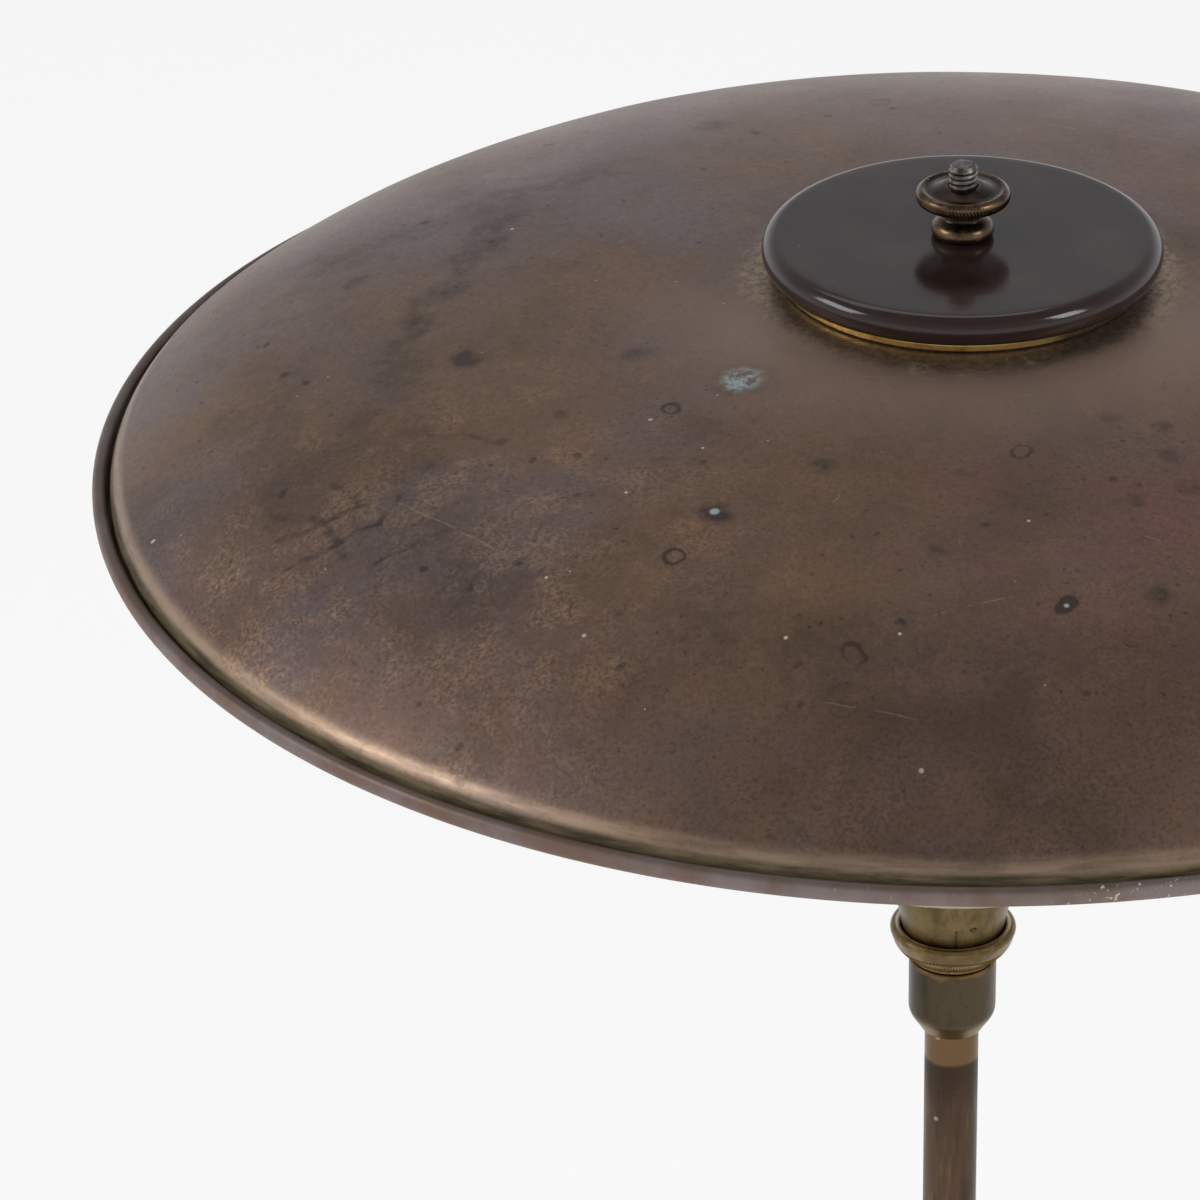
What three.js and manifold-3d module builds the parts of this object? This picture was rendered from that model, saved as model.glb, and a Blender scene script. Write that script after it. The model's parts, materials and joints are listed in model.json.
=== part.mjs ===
// Table lamp: a wide spun-brass shade over an opal glass bowl, on a slim stem and a weighted round foot.
// Millimetres, +Z up. The origin is on the table, at the centre of the foot.

import * as THREE from 'three';
import { mergeVertices } from 'three/addons/utils/BufferGeometryUtils.js';
import Module from 'manifold-3d';

// ---- driving dimensions ----

const rimHeight = 445;          // table to the middle of the shade's rim bead
const shadeRadius = 200;        // outside of the rim bead
const shadeSheet = 0.9;         // shade wall
const shadeTopRadius = 44;      // where the dome meets its flat top flange
const shadeTopHeight = 47.5;    // above the rim, at that radius
const shadeEdgeRadius = 194;    // where the dome turns down into its short wall
const shadeEdgeHeight = 5.2;
const shadeOpening = 40;        // radius of the hole in the top

const footRadius = 100;         // outside of the foot's bead
const footSheet = 1.2;
const footTop = 20;             // flat ring of the foot
const neckTop = 44;             // top of the foot's neck
const stemRadius = 6.5;
const stemBore = 5.5;
const nippleRadius = 5;         // hollow threaded tube inside the holder
const nippleBore = 3.8;
const flexRadius = 2;

const bowlCentre = -16.2;       // centre of the bowl's curve, from the rim plane
const bowlCurve = 90;           // outer radius of that curve
const bowlGlass = 3;
const bowlHole = 11;
const bowlRim = 82;

const studRadius = 3.3;
const finialPitch = 1.27;       // quarter-inch thread, 20 turns to the inch
const armCount = 3;
const armReach = 36.4;          // arms stand on this radius beside the bulb
const plateScrewRadius = 34;    // circle of the bottom plate's screws

const switchAngle = THREE.MathUtils.degToRad(-55);
const switchReach = 70;
const switchTilt = THREE.MathUtils.degToRad(12);
const inletHeight = 11.8;
const gap = 0.3;                // between neighbouring pieces

const wasm = await Module();
wasm.setup();

// ---- finishes ----

const finish = (color, roughness, metalness) => new THREE.MeshStandardMaterial({ color, roughness, metalness });
const finishes = {
  patinatedBrass: () => finish(0x695c50, 0.45, 0.9),
  brass: () => finish(0xa98c4e, 0.35, 1),
  steel: () => finish(0x77767a, 0.4, 1),
  castIron: () => finish(0x2f3030, 0.8, 0.6),
  bakelite: () => finish(0x2a1712, 0.25, 0),
  ceramic: () => finish(0xe6e2d6, 0.4, 0),
  opalGlass: () => finish(0xf1ead6, 0.2, 0),
  felt: () => finish(0x26412f, 0.95, 0),
  rubber: () => finish(0x3a3531, 0.8, 0),
  cloth: () => finish(0x6b4a2c, 0.9, 0),
};

// ---- shape helpers ----

const lamp = new THREE.Group();
const head = new THREE.Group(); // everything measured from the rim plane
head.position.z = rimHeight;
lamp.add(head);

function addPiece(parent, name, geometry, finishName) {
  const mesh = new THREE.Mesh(geometry, finishes[finishName]());
  mesh.name = name;
  parent.add(mesh);
  return mesh;
}

// Profile points are [radius, height]; the loop is closed and turned so that its faces point out.
function turned(points, segments = 20) {
  const loop = points.map(([radius, height]) => new THREE.Vector2(radius, height));
  if (THREE.ShapeUtils.area(loop) < 0) loop.reverse();
  loop.push(loop[0].clone());
  return new THREE.LatheGeometry(loop, segments).rotateX(Math.PI / 2);
}

// A ring of rectangular section.
function ring(inner, outer, bottom, top, segments = 20) {
  return turned([[inner, bottom], [outer, bottom], [outer, top], [inner, top]], segments);
}

// A solid of revolution whose profile starts and ends on the axis.
function spindle(points, segments = 12) {
  const outline = points.map(([radius, height]) => new THREE.Vector2(radius, height));
  return new THREE.LatheGeometry(outline, segments).rotateX(Math.PI / 2);
}

function rod(radius, bottom, top, segments = 12) {
  return spindle([[0, bottom], [radius, bottom], [radius, top], [0, top]], segments);
}

function box(sizeX, sizeY, bottom, top) {
  return new THREE.BoxGeometry(sizeX, sizeY, top - bottom).translate(0, 0, (bottom + top) / 2);
}

function plate(shape, bottom, top, curveSegments = 24) {
  const depth = top - bottom;
  return new THREE.ExtrudeGeometry(shape, { depth, bevelEnabled: false, curveSegments }).translate(0, 0, bottom);
}

function circle(x, y, radius) {
  return new THREE.Path().absarc(x, y, radius, 0, 2 * Math.PI, true);
}

function disc(radius) {
  return new THREE.Shape().absarc(0, 0, radius, 0, 2 * Math.PI, false);
}

function hexagon(acrossFlats, hole) {
  const corner = acrossFlats / Math.sqrt(3);
  const sides = Array.from({ length: 6 }, (_, side) => side * Math.PI / 3);
  const shape = new THREE.Shape(sides.map((a) => new THREE.Vector2(corner * Math.cos(a), corner * Math.sin(a))));
  shape.holes.push(circle(0, 0, hole));
  return shape;
}

// Points on an arc, angles in degrees.
function arc(centreR, centreZ, radius, from, to, steps) {
  return Array.from({ length: steps + 1 }, (_, i) => {
    const angle = THREE.MathUtils.degToRad(from + (to - from) * i / steps);
    return [centreR + radius * Math.cos(angle), centreZ + radius * Math.sin(angle)];
  });
}

// The closed profile of a sheet of even thickness whose middle follows a path.
function sheet(path, thickness) {
  const sides = [[], []];
  path.forEach(([r, z], i) => {
    const [r0, z0] = path[Math.max(i - 1, 0)];
    const [r1, z1] = path[Math.min(i + 1, path.length - 1)];
    const length = Math.hypot(r1 - r0, z1 - z0);
    const normal = [(z0 - z1) / length, (r1 - r0) / length];
    sides[0].push([r + normal[0] * thickness / 2, z + normal[1] * thickness / 2]);
    sides[1].unshift([r - normal[0] * thickness / 2, z - normal[1] * thickness / 2]);
  });
  return sides.flat();
}

function toSolid(geometry) {
  const bare = geometry.clone();
  bare.deleteAttribute('normal');
  bare.deleteAttribute('uv');
  const merged = mergeVertices(bare, 1e-4);
  const vertProperties = Float32Array.from(merged.attributes.position.array);
  const triVerts = Uint32Array.from(merged.index.array);
  return new wasm.Manifold(new wasm.Mesh({ numProp: 3, vertProperties, triVerts }));
}

function cut(body, ...tools) {
  let solid = toSolid(body);
  for (const tool of tools) {
    solid = solid.subtract(toSolid(tool));
  }
  const { vertProperties, triVerts } = solid.getMesh();
  const geometry = new THREE.BufferGeometry();
  geometry.setAttribute('position', new THREE.BufferAttribute(vertProperties, 3));
  geometry.setIndex(new THREE.BufferAttribute(triVerts, 1));
  return geometry;
}

function aroundAxis(count, place) {
  for (let i = 0; i < count; i += 1) {
    place(i + 1, i * 2 * Math.PI / count + Math.PI / 2);
  }
}

const polar = (radius, angle) => [radius * Math.cos(angle), radius * Math.sin(angle)];

// ---- foot ----

const wallRadius = footRadius - 3.7;
const footBead = arc(wallRadius + 1.6, 3.2, 1.6, 180, 420, 4);
const footOgee = new THREE.CubicBezierCurve(
  new THREE.Vector2(54, footTop - footSheet / 2),
  new THREE.Vector2(30, footTop - footSheet / 2),
  new THREE.Vector2(12, footTop + 4),
  new THREE.Vector2(11.4, neckTop - 2),
).getPoints(5).map(({ x, y }) => [x, y]);
const footPath = [
  [7.4, neckTop - footSheet / 2],
  [10.4, neckTop - footSheet / 2],
  ...footOgee.reverse(),
  [88, footTop - footSheet / 2],
  ...arc(wallRadius - 3, footTop - 3.6, 3, 80, 0, 2),
  ...footBead,
];
const [switchX, switchY] = polar(switchReach, switchAngle);
const inletCut = rod(4.9, 88, 102, 12).rotateX(-Math.PI / 2).translate(0, 0, inletHeight);
const switchCut = rod(5.2, footTop - 4, footTop + 4, 12).translate(switchX, switchY, 0);
addPiece(lamp, 'foot_shell', cut(turned(sheet(footPath, footSheet), 28), inletCut, switchCut), 'patinatedBrass');

const ballastBody = turned([
  [7.2, 14], [28, 14], [28, 4.2], [86, 4.2], [86, 15], [50, 15], [40, 17.6], [16, 19.4], [7.2, 19.4],
], 28);
const cordChannel = box(14, 66, 4, 16.5).translate(0, 24 + 33, 0);
const switchPocket = box(26, 18, 3, 20).rotateZ(switchAngle).translate(switchX, switchY, 0);
const tappedHoles = [];
aroundAxis(3, (_, angle) => {
  const [x, y] = polar(plateScrewRadius, angle - Math.PI / 3);
  tappedHoles.push(rod(2.2, 3, 10, 12).translate(x, y, 0));
});
addPiece(lamp, 'ballast', cut(ballastBody, cordChannel, switchPocket, ...tappedHoles), 'castIron');

const bottomShape = disc(93);
aroundAxis(3, (_, angle) => {
  const [x, y] = polar(plateScrewRadius, angle - Math.PI / 3);
  bottomShape.holes.push(circle(x, y, 2.4));
});
addPiece(lamp, 'bottom_plate', plate(bottomShape, 2.3, 3.8, 14), 'steel');
addPiece(lamp, 'felt_ring', ring(42, 95, 0, 2, 28), 'felt');

const plateScrew = [[0, 0.7], [3.4, 0.7], [3.6, 1.4], [3.2, 2], [1.9, 2], [1.9, 9.4], [0, 9.4]];
aroundAxis(3, (number, angle) => {
  const [x, y] = polar(plateScrewRadius, angle - Math.PI / 3);
  addPiece(lamp, `plate_screw_${number}`, spindle(plateScrew, 12), 'steel').position.set(x, y, 0);
});

// cord inlet in the back wall
const inletBush = turned([
  [3.2, 91.5], [4.6, 91.5], [4.6, wallRadius + 0.9], [5.4, wallRadius + 0.9], [5.4, wallRadius + 2.4],
  [4.6, wallRadius + 3.1], [3.2, wallRadius + 3.1],
], 20).rotateX(-Math.PI / 2);
addPiece(lamp, 'inlet_bush', inletBush, 'bakelite').position.z = inletHeight;
addPiece(lamp, 'terminal_block', box(20, 11, 4.4, 10.2).translate(0, 18, 0), 'ceramic');

// ---- switch in the flat ring of the foot ----

const switchGroup = new THREE.Group();
switchGroup.position.set(switchX, switchY, footTop);
switchGroup.rotation.z = switchAngle;
lamp.add(switchGroup);
addPiece(switchGroup, 'switch_body', box(24, 16, -13, -3.2), 'bakelite');
addPiece(switchGroup, 'switch_bushing', ring(2.9, 4.8, -2.9, 5.4, 20), 'brass');
addPiece(switchGroup, 'switch_nut', turned([
  [5.1, gap], [8, gap], [8, 2.4], [7.2, 3.2], [5.1, 3.2],
], 24), 'brass');
const lever = spindle([
  [0, -2], [1.3, -1.6], [1.5, 0], [1.5, 5], [2, 12], [2.6, 16], [2.3, 17.8], [1.2, 18.8], [0, 19],
], 16);
const leverPivot = 1.5;         // above the foot's flat ring
addPiece(switchGroup, 'switch_lever', lever.rotateY(switchTilt).translate(0, 0, leverPivot), 'brass');

// ---- stem ----

const stemEnd = 9.8;            // lower end, inside the ballast's recess
addPiece(lamp, 'stem_tube', ring(stemBore, stemRadius, stemEnd, rimHeight - 146.3, 24), 'patinatedBrass');
addPiece(lamp, 'stem_lock_nut', plate(hexagon(20, stemRadius + gap), stemEnd + 0.4, 12.6, 10), 'steel');
addPiece(lamp, 'stem_lock_washer', ring(stemRadius + gap, 13, 12.8, 13.8, 24), 'steel');
addPiece(lamp, 'stem_foot_collar', turned([
  [stemRadius + gap, neckTop + gap], [12.6, neckTop + gap],
  ...arc(11.2, neckTop + 2.6, 1.8, -60, 60, 3),
  [9.4, neckTop + 4.8], [8.6, neckTop + 8], [7.6, neckTop + 9.4], [stemRadius + gap, neckTop + 9.6],
], 20), 'brass');

const flexTop = rimHeight - 92;
const flexRoute = new THREE.CatmullRomCurve3([
  [0, 12.2, 6.6], [0, 6, 6.5], [0, 1, 8.4], [0, 0, 14], [0, 0, 60], [0, 0, 200], [0, 0, flexTop],
].map((point) => new THREE.Vector3(...point)));
const flexSection = new THREE.Shape(Array.from({ length: 8 }, (_, side) => {
  const angle = side * Math.PI / 4;
  return new THREE.Vector2(flexRadius * Math.cos(angle), flexRadius * Math.sin(angle));
}));
const flexGeometry = new THREE.ExtrudeGeometry(flexSection, { steps: 40, extrudePath: flexRoute });
addPiece(lamp, 'inner_flex', flexGeometry, 'cloth');

// ---- holder at the top of the stem ----

addPiece(head, 'holder_cup', turned([
  [6.8, -153.4], [7.4, -153.2], ...arc(6.7, -147.2, 3.8, -50, 0, 3), [10.5, -134.2], [10.1, -133.6],
  [nippleRadius + gap, -133.6], [nippleRadius + gap, -146], [6.8, -146],
], 20), 'patinatedBrass');
addPiece(head, 'holder_nipple', ring(nippleBore, nippleRadius, -150, -93.4, 20), 'steel');
addPiece(head, 'knurled_ring', turned([
  [nippleRadius + gap, -133.3], [10.3, -133.3], [11.4, -131.6], [13.6, -129.4],
  ...arc(13.75, -125.6, 1.4, -40, 200, 5),
  [12.5, -129.6], [11.2, -131.8], [nippleRadius + gap, -131.8],
], 20), 'brass');
addPiece(head, 'gallery_cone', turned(sheet([
  [5.7, -131], [10.1, -131], [11.5, -126.5], [12.4, -121.3], [13.6, -116], [14.3, -111], [14.6, -106.9],
], 0.9), 20), 'brass');
addPiece(head, 'bowl_gasket', ring(13, 16, -106.6, -105.6, 24), 'rubber');

const bowlSide = (radius, from, to, steps) => arc(0, bowlCentre, radius, from, to, steps);
const bowlAngle = (radius, reach) => -THREE.MathUtils.radToDeg(Math.acos(reach / radius));
const bowlInside = bowlCurve - bowlGlass;
addPiece(head, 'lower_bowl', turned([
  ...bowlSide(bowlCurve, bowlAngle(bowlCurve, bowlHole), bowlAngle(bowlCurve, bowlRim), 7),
  ...bowlSide(bowlInside, bowlAngle(bowlInside, bowlRim - 3.4), bowlAngle(bowlInside, bowlHole), 7),
], 28), 'opalGlass');
addPiece(head, 'bowl_clamp', ring(nippleRadius + gap, 17, -101.2, -99.9, 28), 'brass');
addPiece(head, 'bowl_nut', plate(hexagon(14, nippleRadius + gap), -99.6, -96.8, 10), 'steel');

// ---- lampholder ----

addPiece(head, 'lampholder_shell', turned([
  [nippleRadius + gap, -96.5], [11, -96.5], [17, -93.5], [19.5, -88], [19.5, -52.6], [18.9, -52],
  [16.9, -52], [16.9, -86.5], [14.6, -92], [nippleRadius + gap, -92.9],
], 20), 'bakelite');
addPiece(head, 'lampholder_insulator', turned([
  [2, -90.6], [14, -90.6], [14, -84.4], [3.9, -84.4], [3.9, -85.8], [2, -85.8],
], 24), 'ceramic');
addPiece(head, 'lampholder_thread', ring(13.7, 14.4, -84.1, -53, 28), 'brass');
addPiece(head, 'contact_plunger', spindle([
  [0, -89.6], [1.6, -89.6], [1.6, -84.1], [3.4, -84.1], [3.4, -81.6], [2.4, -80.6], [0, -80.4],
], 16), 'brass');

// ---- bulb, screwed home ----

addPiece(head, 'bulb_tip', spindle([[0, -80.1], [2.2, -80.1], [3, -79.4], [3, -78.8], [0, -78.8]], 16), 'steel');
addPiece(head, 'bulb_insulator', ring(0.8, 9, -78.5, -76.6, 20), 'ceramic');
addPiece(head, 'bulb_cap', turned([
  [9, -76.3], [12.2, -74.6], [13.2, -73.2], [13.2, -54.6], [12.8, -53.4], [12.3, -53.4], [12.3, -73], [9, -75.6],
], 20), 'brass');
const bulbSheet = 0.9;
const bulbPath = [
  [6.5, -72], [11.3, -71.4], [11.4, -53], [12.6, -46], [16.8, -36], [22.8, -25],
  ...arc(0, -10.5, 27, -18, 78, 5), [0.9, 16.5],
];
addPiece(head, 'bulb_glass', turned(sheet(bulbPath, bulbSheet), 16), 'opalGlass');
addPiece(head, 'bulb_stem', spindle([
  [0, -71.6], [5.6, -71.6], [4, -66], [2.6, -58], [2.2, -40], [3, -34], [0, -33],
], 12), 'opalGlass');

// ---- arms from the lampholder to the crown under the shade ----

const armFoot = 23.4;
const armRingShape = disc(27);
armRingShape.holes.push(circle(0, 0, 19.5 + gap));
aroundAxis(armCount, (_, angle) => armRingShape.holes.push(circle(...polar(armFoot, angle), 1.5)));
addPiece(head, 'arm_ring', plate(armRingShape, -62, -59, 10), 'brass');

const crownTop = 46.2;
const crownShape = disc(42.4);
const [hubRadius, windowRadius, spokeHalf] = [9, 32.6, 3.4];
crownShape.holes.push(circle(0, 0, studRadius + gap));
aroundAxis(armCount, (_, angle) => {
  crownShape.holes.push(circle(...polar(armReach, angle), 1.5));
  const inner = Math.asin(spokeHalf / hubRadius);
  const outer = Math.asin(spokeHalf / windowRadius);
  const next = angle + 2 * Math.PI / armCount;
  const window = new THREE.Path();
  window.absarc(0, 0, windowRadius, angle + outer, next - outer, false);
  window.absarc(0, 0, hubRadius, next - inner, angle + inner, true);
  crownShape.holes.push(window);
});
addPiece(head, 'crown_plate', plate(crownShape, crownTop - 2, crownTop, 6), 'brass');

aroundAxis(armCount, (number, angle) => {
  const side = new THREE.Group();
  side.rotation.z = angle;
  head.add(side);
  const route = new THREE.CatmullRomCurve3([
    [armFoot, 0, -58.7], [armFoot + 0.4, 0, -52], [armFoot + 7, 0, -40], [armReach - 1, 0, -22],
    [armReach, 0, 4], [armReach, 0, 30], [armReach, 0, crownTop - 2.3],
  ].map((point) => new THREE.Vector3(...point)));
  const section = new THREE.Shape(Array.from({ length: 8 }, (_, i) => {
    return new THREE.Vector2(2.1 * Math.cos(i * Math.PI / 4), 2.1 * Math.sin(i * Math.PI / 4));
  }));
  addPiece(side, `arm_${number}`, new THREE.ExtrudeGeometry(section, { steps: 12, extrudePath: route }), 'brass');
  const lowScrew = spindle([
    [0, -64], [2.4, -64], [2.6, -62.9], [2.2, -62.3], [1.2, -62.3], [1.2, -59.1], [0, -59.1],
  ], 12);
  addPiece(side, `arm_screw_${number}`, lowScrew, 'steel').position.x = armFoot;
  const topScrew = spindle([
    [0, crownTop - 1.8], [1.2, crownTop - 1.8], [1.2, crownTop + 0.2], [2.1, crownTop + 0.2], [1.8, crownTop + 1.1],
    [0, crownTop + 1.2],
  ], 12);
  addPiece(side, `crown_screw_${number}`, topScrew, 'steel').position.x = armReach;
});

const studTop = 74.6;
addPiece(head, 'stud', rod(studRadius, 37.6, studTop, 20), 'steel');
addPiece(head, 'stud_nut_lower', plate(hexagon(11, studRadius + gap), 38.6, 43.9, 8), 'steel');
addPiece(head, 'stud_nut_upper', plate(hexagon(11, studRadius + gap), crownTop + gap, 50.4, 8), 'steel');

// ---- shade ----

// Height of the dome: a gentle fall from the top that steepens towards the edge.
function domeHeight(radius) {
  const fall = 0.08;
  const run = shadeEdgeRadius - shadeTopRadius;
  const along = (radius - shadeTopRadius) / run;
  const drop = shadeTopHeight - shadeEdgeHeight - fall * run;
  return shadeTopHeight - fall * (radius - shadeTopRadius) - drop * along ** 3.75;
}

const half = shadeSheet / 2;
const domePath = [0, 0.3, 0.5, 0.65, 0.78, 0.88, 0.95, 1].map((along) => {
  const radius = shadeTopRadius + (shadeEdgeRadius - shadeTopRadius) * along;
  return [radius, domeHeight(radius) - half];
});
const shadeWall = shadeRadius - 4.1 - half;
addPiece(head, 'upper_shade', turned(sheet([
  [shadeOpening, shadeTopHeight - half],
  ...domePath,
  [shadeWall, 2.6],
  ...arc(shadeRadius - half - 2.05, 0, 2.05, 180, 360, 4),
  ...arc(shadeRadius - half - 1.15, 0.6, 1.15, 30, 130, 2),
], shadeSheet), 36), 'patinatedBrass');
addPiece(head, 'neck_ring', turned([
  [39.2, 47.9], [41.8, 47.9], [41.8, 49.3], [41.5, 49.6], [39.2, 49.6],
], 28), 'brass');

// ---- cap and finial ----

const capTop = 57.3;
const capRadius = 45.7;
addPiece(head, 'cap_disc', turned([
  [studRadius + 0.4, 52], [9, 52], [9, 48.6], [38.9, 48.6], [38.9, 49.9],
  ...arc(capRadius - 3.7, 53.6, 3.7, -90, 84, 6), [studRadius + 0.4, capTop],
], 28), 'bakelite');
addPiece(head, 'finial_washer', ring(studRadius + 0.4, 5.8, 57.5, 57.9, 20), 'brass');
addPiece(head, 'finial_nut', turned([
  [studRadius + 0.2, 58.2], [6.2, 58.2], [6.2, 57.6], [6.8, 57.6], [7.3, 58.7], [6.9, 60], [5.6, 61.2], [4.7, 62],
  [4.7, 64.4], [6.5, 64.9], ...arc(9, 67.1, 1.85, -80, 75, 4), [8.4, 68.4], [7.2, 68.5], [4.7, 69.4],
  [studRadius + 0.2, 69.5],
], 20), 'brass');

export default lamp;
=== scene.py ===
import json
import math

import bmesh
import bpy
from mathutils import Matrix, Vector, noise


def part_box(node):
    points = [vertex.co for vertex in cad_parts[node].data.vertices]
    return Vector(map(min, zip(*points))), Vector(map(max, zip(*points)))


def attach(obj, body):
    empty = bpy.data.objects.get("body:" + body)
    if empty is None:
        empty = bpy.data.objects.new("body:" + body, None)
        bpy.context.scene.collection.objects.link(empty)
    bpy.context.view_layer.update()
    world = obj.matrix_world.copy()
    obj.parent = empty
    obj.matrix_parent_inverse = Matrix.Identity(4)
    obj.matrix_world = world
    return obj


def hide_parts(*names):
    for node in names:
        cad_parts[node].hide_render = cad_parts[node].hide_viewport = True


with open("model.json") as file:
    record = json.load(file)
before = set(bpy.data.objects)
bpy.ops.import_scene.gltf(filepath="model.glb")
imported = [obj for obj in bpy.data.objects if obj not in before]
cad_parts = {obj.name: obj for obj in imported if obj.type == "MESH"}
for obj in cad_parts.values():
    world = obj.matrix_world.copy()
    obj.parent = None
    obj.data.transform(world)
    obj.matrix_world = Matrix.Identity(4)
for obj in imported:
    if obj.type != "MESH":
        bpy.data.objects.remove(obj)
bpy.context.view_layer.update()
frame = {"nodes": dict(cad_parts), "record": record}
record = frame["record"]
mm = 0.001
bodyOf = {node: body for body, nodes in record["behaviour"]["bodies"].items() for node in nodes}
shadeTop = 47.5  # the shade's highest point above its rim, in mm
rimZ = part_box("upper_shade")[1].z - shadeTop * mm
footTop = 20.0  # the foot's flat ring above the table, in mm
print("frame loaded:", len(frame["nodes"]), "nodes")


# x held between 0 and 1
def unit(x):
    return min(max(x, 0), 1)


def polar(radius, angle):
    return radius * math.cos(angle), radius * math.sin(angle)


def addObject(name, data):
    obj = bpy.data.objects.new(name, data)
    bpy.context.scene.collection.objects.link(obj)
    return obj


# the middle of a node's box
def middle(node):
    low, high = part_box(node)
    return (low + high) / 2


# camera

view = {
    "back": 1.420,  # from the lamp's axis
    "up": 0.724,  # above the rim
    "yaw": -3.37,
    "pitch": 28.19,
    "roll": -0.81,
    "lens": 206.7,
}


def addCamera():
    yaw, pitch, roll = (math.radians(view[k]) for k in ("yaw", "pitch", "roll"))
    ahead = Vector((math.sin(yaw) * math.cos(pitch), math.cos(yaw) * math.cos(pitch), -math.sin(pitch)))
    right = Vector((math.cos(yaw), -math.sin(yaw), 0))
    above = right.cross(ahead)
    turnedRight = right * math.cos(roll) + above * math.sin(roll)
    turnedUp = above * math.cos(roll) - right * math.sin(roll)
    data = bpy.data.cameras.new("camera")
    data.lens = view["lens"]
    data.clip_start = 0.05
    data.clip_end = 60
    camera = addObject("camera", data)
    axes = Matrix((turnedRight, turnedUp, -ahead)).transposed().to_4x4()
    camera.matrix_world = Matrix.Translation((0, -view["back"], rimZ + view["up"])) @ axes
    bpy.context.scene.camera = camera


addCamera()
print("camera placed")


# shader sums written as plain expressions

# an operator on wires; the reflected form takes its two sides the other way round
def operator(name, reflected=False):
    def work(self, other):
        sides = (other, self) if reflected else (self, other)
        return self.graph.maths(name, *sides)
    return work


class Wire:
    def __init__(self, graph, socket):
        self.graph = graph
        self.socket = socket

    __add__, __radd__ = operator("ADD"), operator("ADD", True)
    __sub__, __rsub__ = operator("SUBTRACT"), operator("SUBTRACT", True)
    __mul__, __rmul__ = operator("MULTIPLY"), operator("MULTIPLY", True)
    __truediv__, __pow__ = operator("DIVIDE"), operator("POWER")


class Graph:
    def __init__(self, name):
        self.material = bpy.data.materials.new(name)
        self.material.use_nodes = True
        self.tree = self.material.node_tree
        self.shader = self.tree.nodes["Principled BSDF"]
        place = self.node("TexCoord", out="Object")
        self.point = self.vector("SCALE", place, scale=1 / mm)  # in mm, in the lamp's frame

    def node(self, kind, settings=None, sockets=None, out=0):
        node = self.tree.nodes.new("ShaderNode" + kind)
        for name, value in (settings or {}).items():
            setattr(node, name, value)
        for name, value in (sockets or {}).items():
            self.feed(node.inputs[name], value)
        return Wire(self, node.outputs[out])

    def feed(self, socket, value):
        if isinstance(value, Wire):
            self.tree.links.new(value.socket, socket)
        else:
            socket.default_value = value

    def maths(self, operation, a, b=0.0):
        return self.node("Math", {"operation": operation}, {0: a, 1: b})

    def vector(self, operation, a, b=None, scale=None, out=0):
        sockets = {0: a}
        if b is not None:
            sockets[1] = b
        if scale is not None:
            sockets["Scale"] = scale
        return self.node("VectorMath", {"operation": operation}, sockets, out)

    def split(self, vector):
        return [self.node("SeparateXYZ", None, {0: vector}, axis) for axis in range(3)]

    def join(self, x, y, z):
        return self.node("CombineXYZ", None, {0: x, 1: y, 2: z})

    # 0 at low, 1 at high, smooth between; low may be the larger one
    def ease(self, low, high, value):
        settings = {"interpolation_type": "SMOOTHSTEP"}
        if low < high:
            return self.node("MapRange", settings, {"Value": value, "From Min": low, "From Max": high})
        sockets = {"Value": value, "From Min": high, "From Max": low, "To Min": 1.0, "To Max": 0.0}
        return self.node("MapRange", settings, sockets)

    def mix(self, factor, a, b):
        return self.node("Mix", {"data_type": "RGBA"}, {0: factor, 6: a, 7: b}, 2)

    # noise whose lumps are about size mm across
    def lumps(self, size, detail=3.0, rough=0.5, seed=0.0, point=None):
        sockets = {"Vector": point or self.point, "W": seed, "Scale": 1 / size}
        sockets.update({"Detail": detail, "Roughness": rough})
        return self.node("TexNoise", {"noise_dimensions": "4D"}, sockets)

    # that noise as patches: 0 below low, 1 above high
    def patches(self, low, high, *lumps):
        return self.ease(low, high, self.lumps(*lumps))

    # round spots in some of the cells of a size mm grid
    def spots(self, size, share, reach, seed=0.0, point=None):
        moved = self.vector("ADD", point or self.point, (seed, seed * 1.7, seed * 2.3))
        sockets = {"Vector": moved, "Scale": 1 / size}
        away = self.node("TexVoronoi", None, sockets, "Distance")
        pick = self.node("SeparateColor", None, {0: self.node("TexVoronoi", None, sockets, "Color")}, 0)
        return self.ease(reach, reach * 0.45, away) * self.ease(1 - share, 1 - share + 0.02, pick)

    def away(self, point, place):
        return self.vector("DISTANCE", point, place, out="Value")

    # 1 close to a place and 0 beyond reach of it
    def near(self, point, place, reach, close):
        return self.ease(reach, close, self.away(point, place))

    def bump(self, height, depth, strength):
        return self.node("Bump", None, {"Height": height, "Distance": depth * mm, "Strength": strength})

    # distance from the lamp's axis, and height above the shade's rim
    def place(self):
        x, y, z = self.split(self.point)
        return (x * x + y * y) ** 0.5, z - rimZ / mm

    def finish(self, colour, rough, metal=0.0, normal=None, **fixed):
        sockets = {name.replace("_", " "): value for name, value in fixed.items()}
        sockets.update({"Base Color": colour, "Roughness": rough, "Metallic": metal})
        if normal:
            sockets["Normal"] = normal
        for name, value in sockets.items():
            self.feed(self.shader.inputs[name], value)
        return self.material


# a colour as read off a swatch, 0 to 255
def tint(red, green, blue):
    linear = [((c / 255 + 0.055) / 1.055) ** 2.4 if c > 10 else c / 255 / 12.92 for c in (red, green, blue)]
    return (*linear, 1.0)


# finishes

shadeLook = {
    "brown": tint(118, 97, 88),
    "gold": tint(128, 102, 80),
    "pale gold": tint(172, 142, 112),
    "olive": tint(86, 71, 58),
    "rose": tint(124, 90, 84),
    "violetSheen": tint(112, 101, 104),
    "dark": tint(58, 49, 45),
    "verdigris": tint(150, 172, 172),
    "pale": tint(205, 196, 178),
    "groove": tint(70, 64, 46),
    "wall": tint(140, 124, 94),
    "edge": tint(170, 147, 124),
    "bead": tint(117, 95, 83),
    "lilacSheen": tint(130, 118, 115),
}

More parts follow.
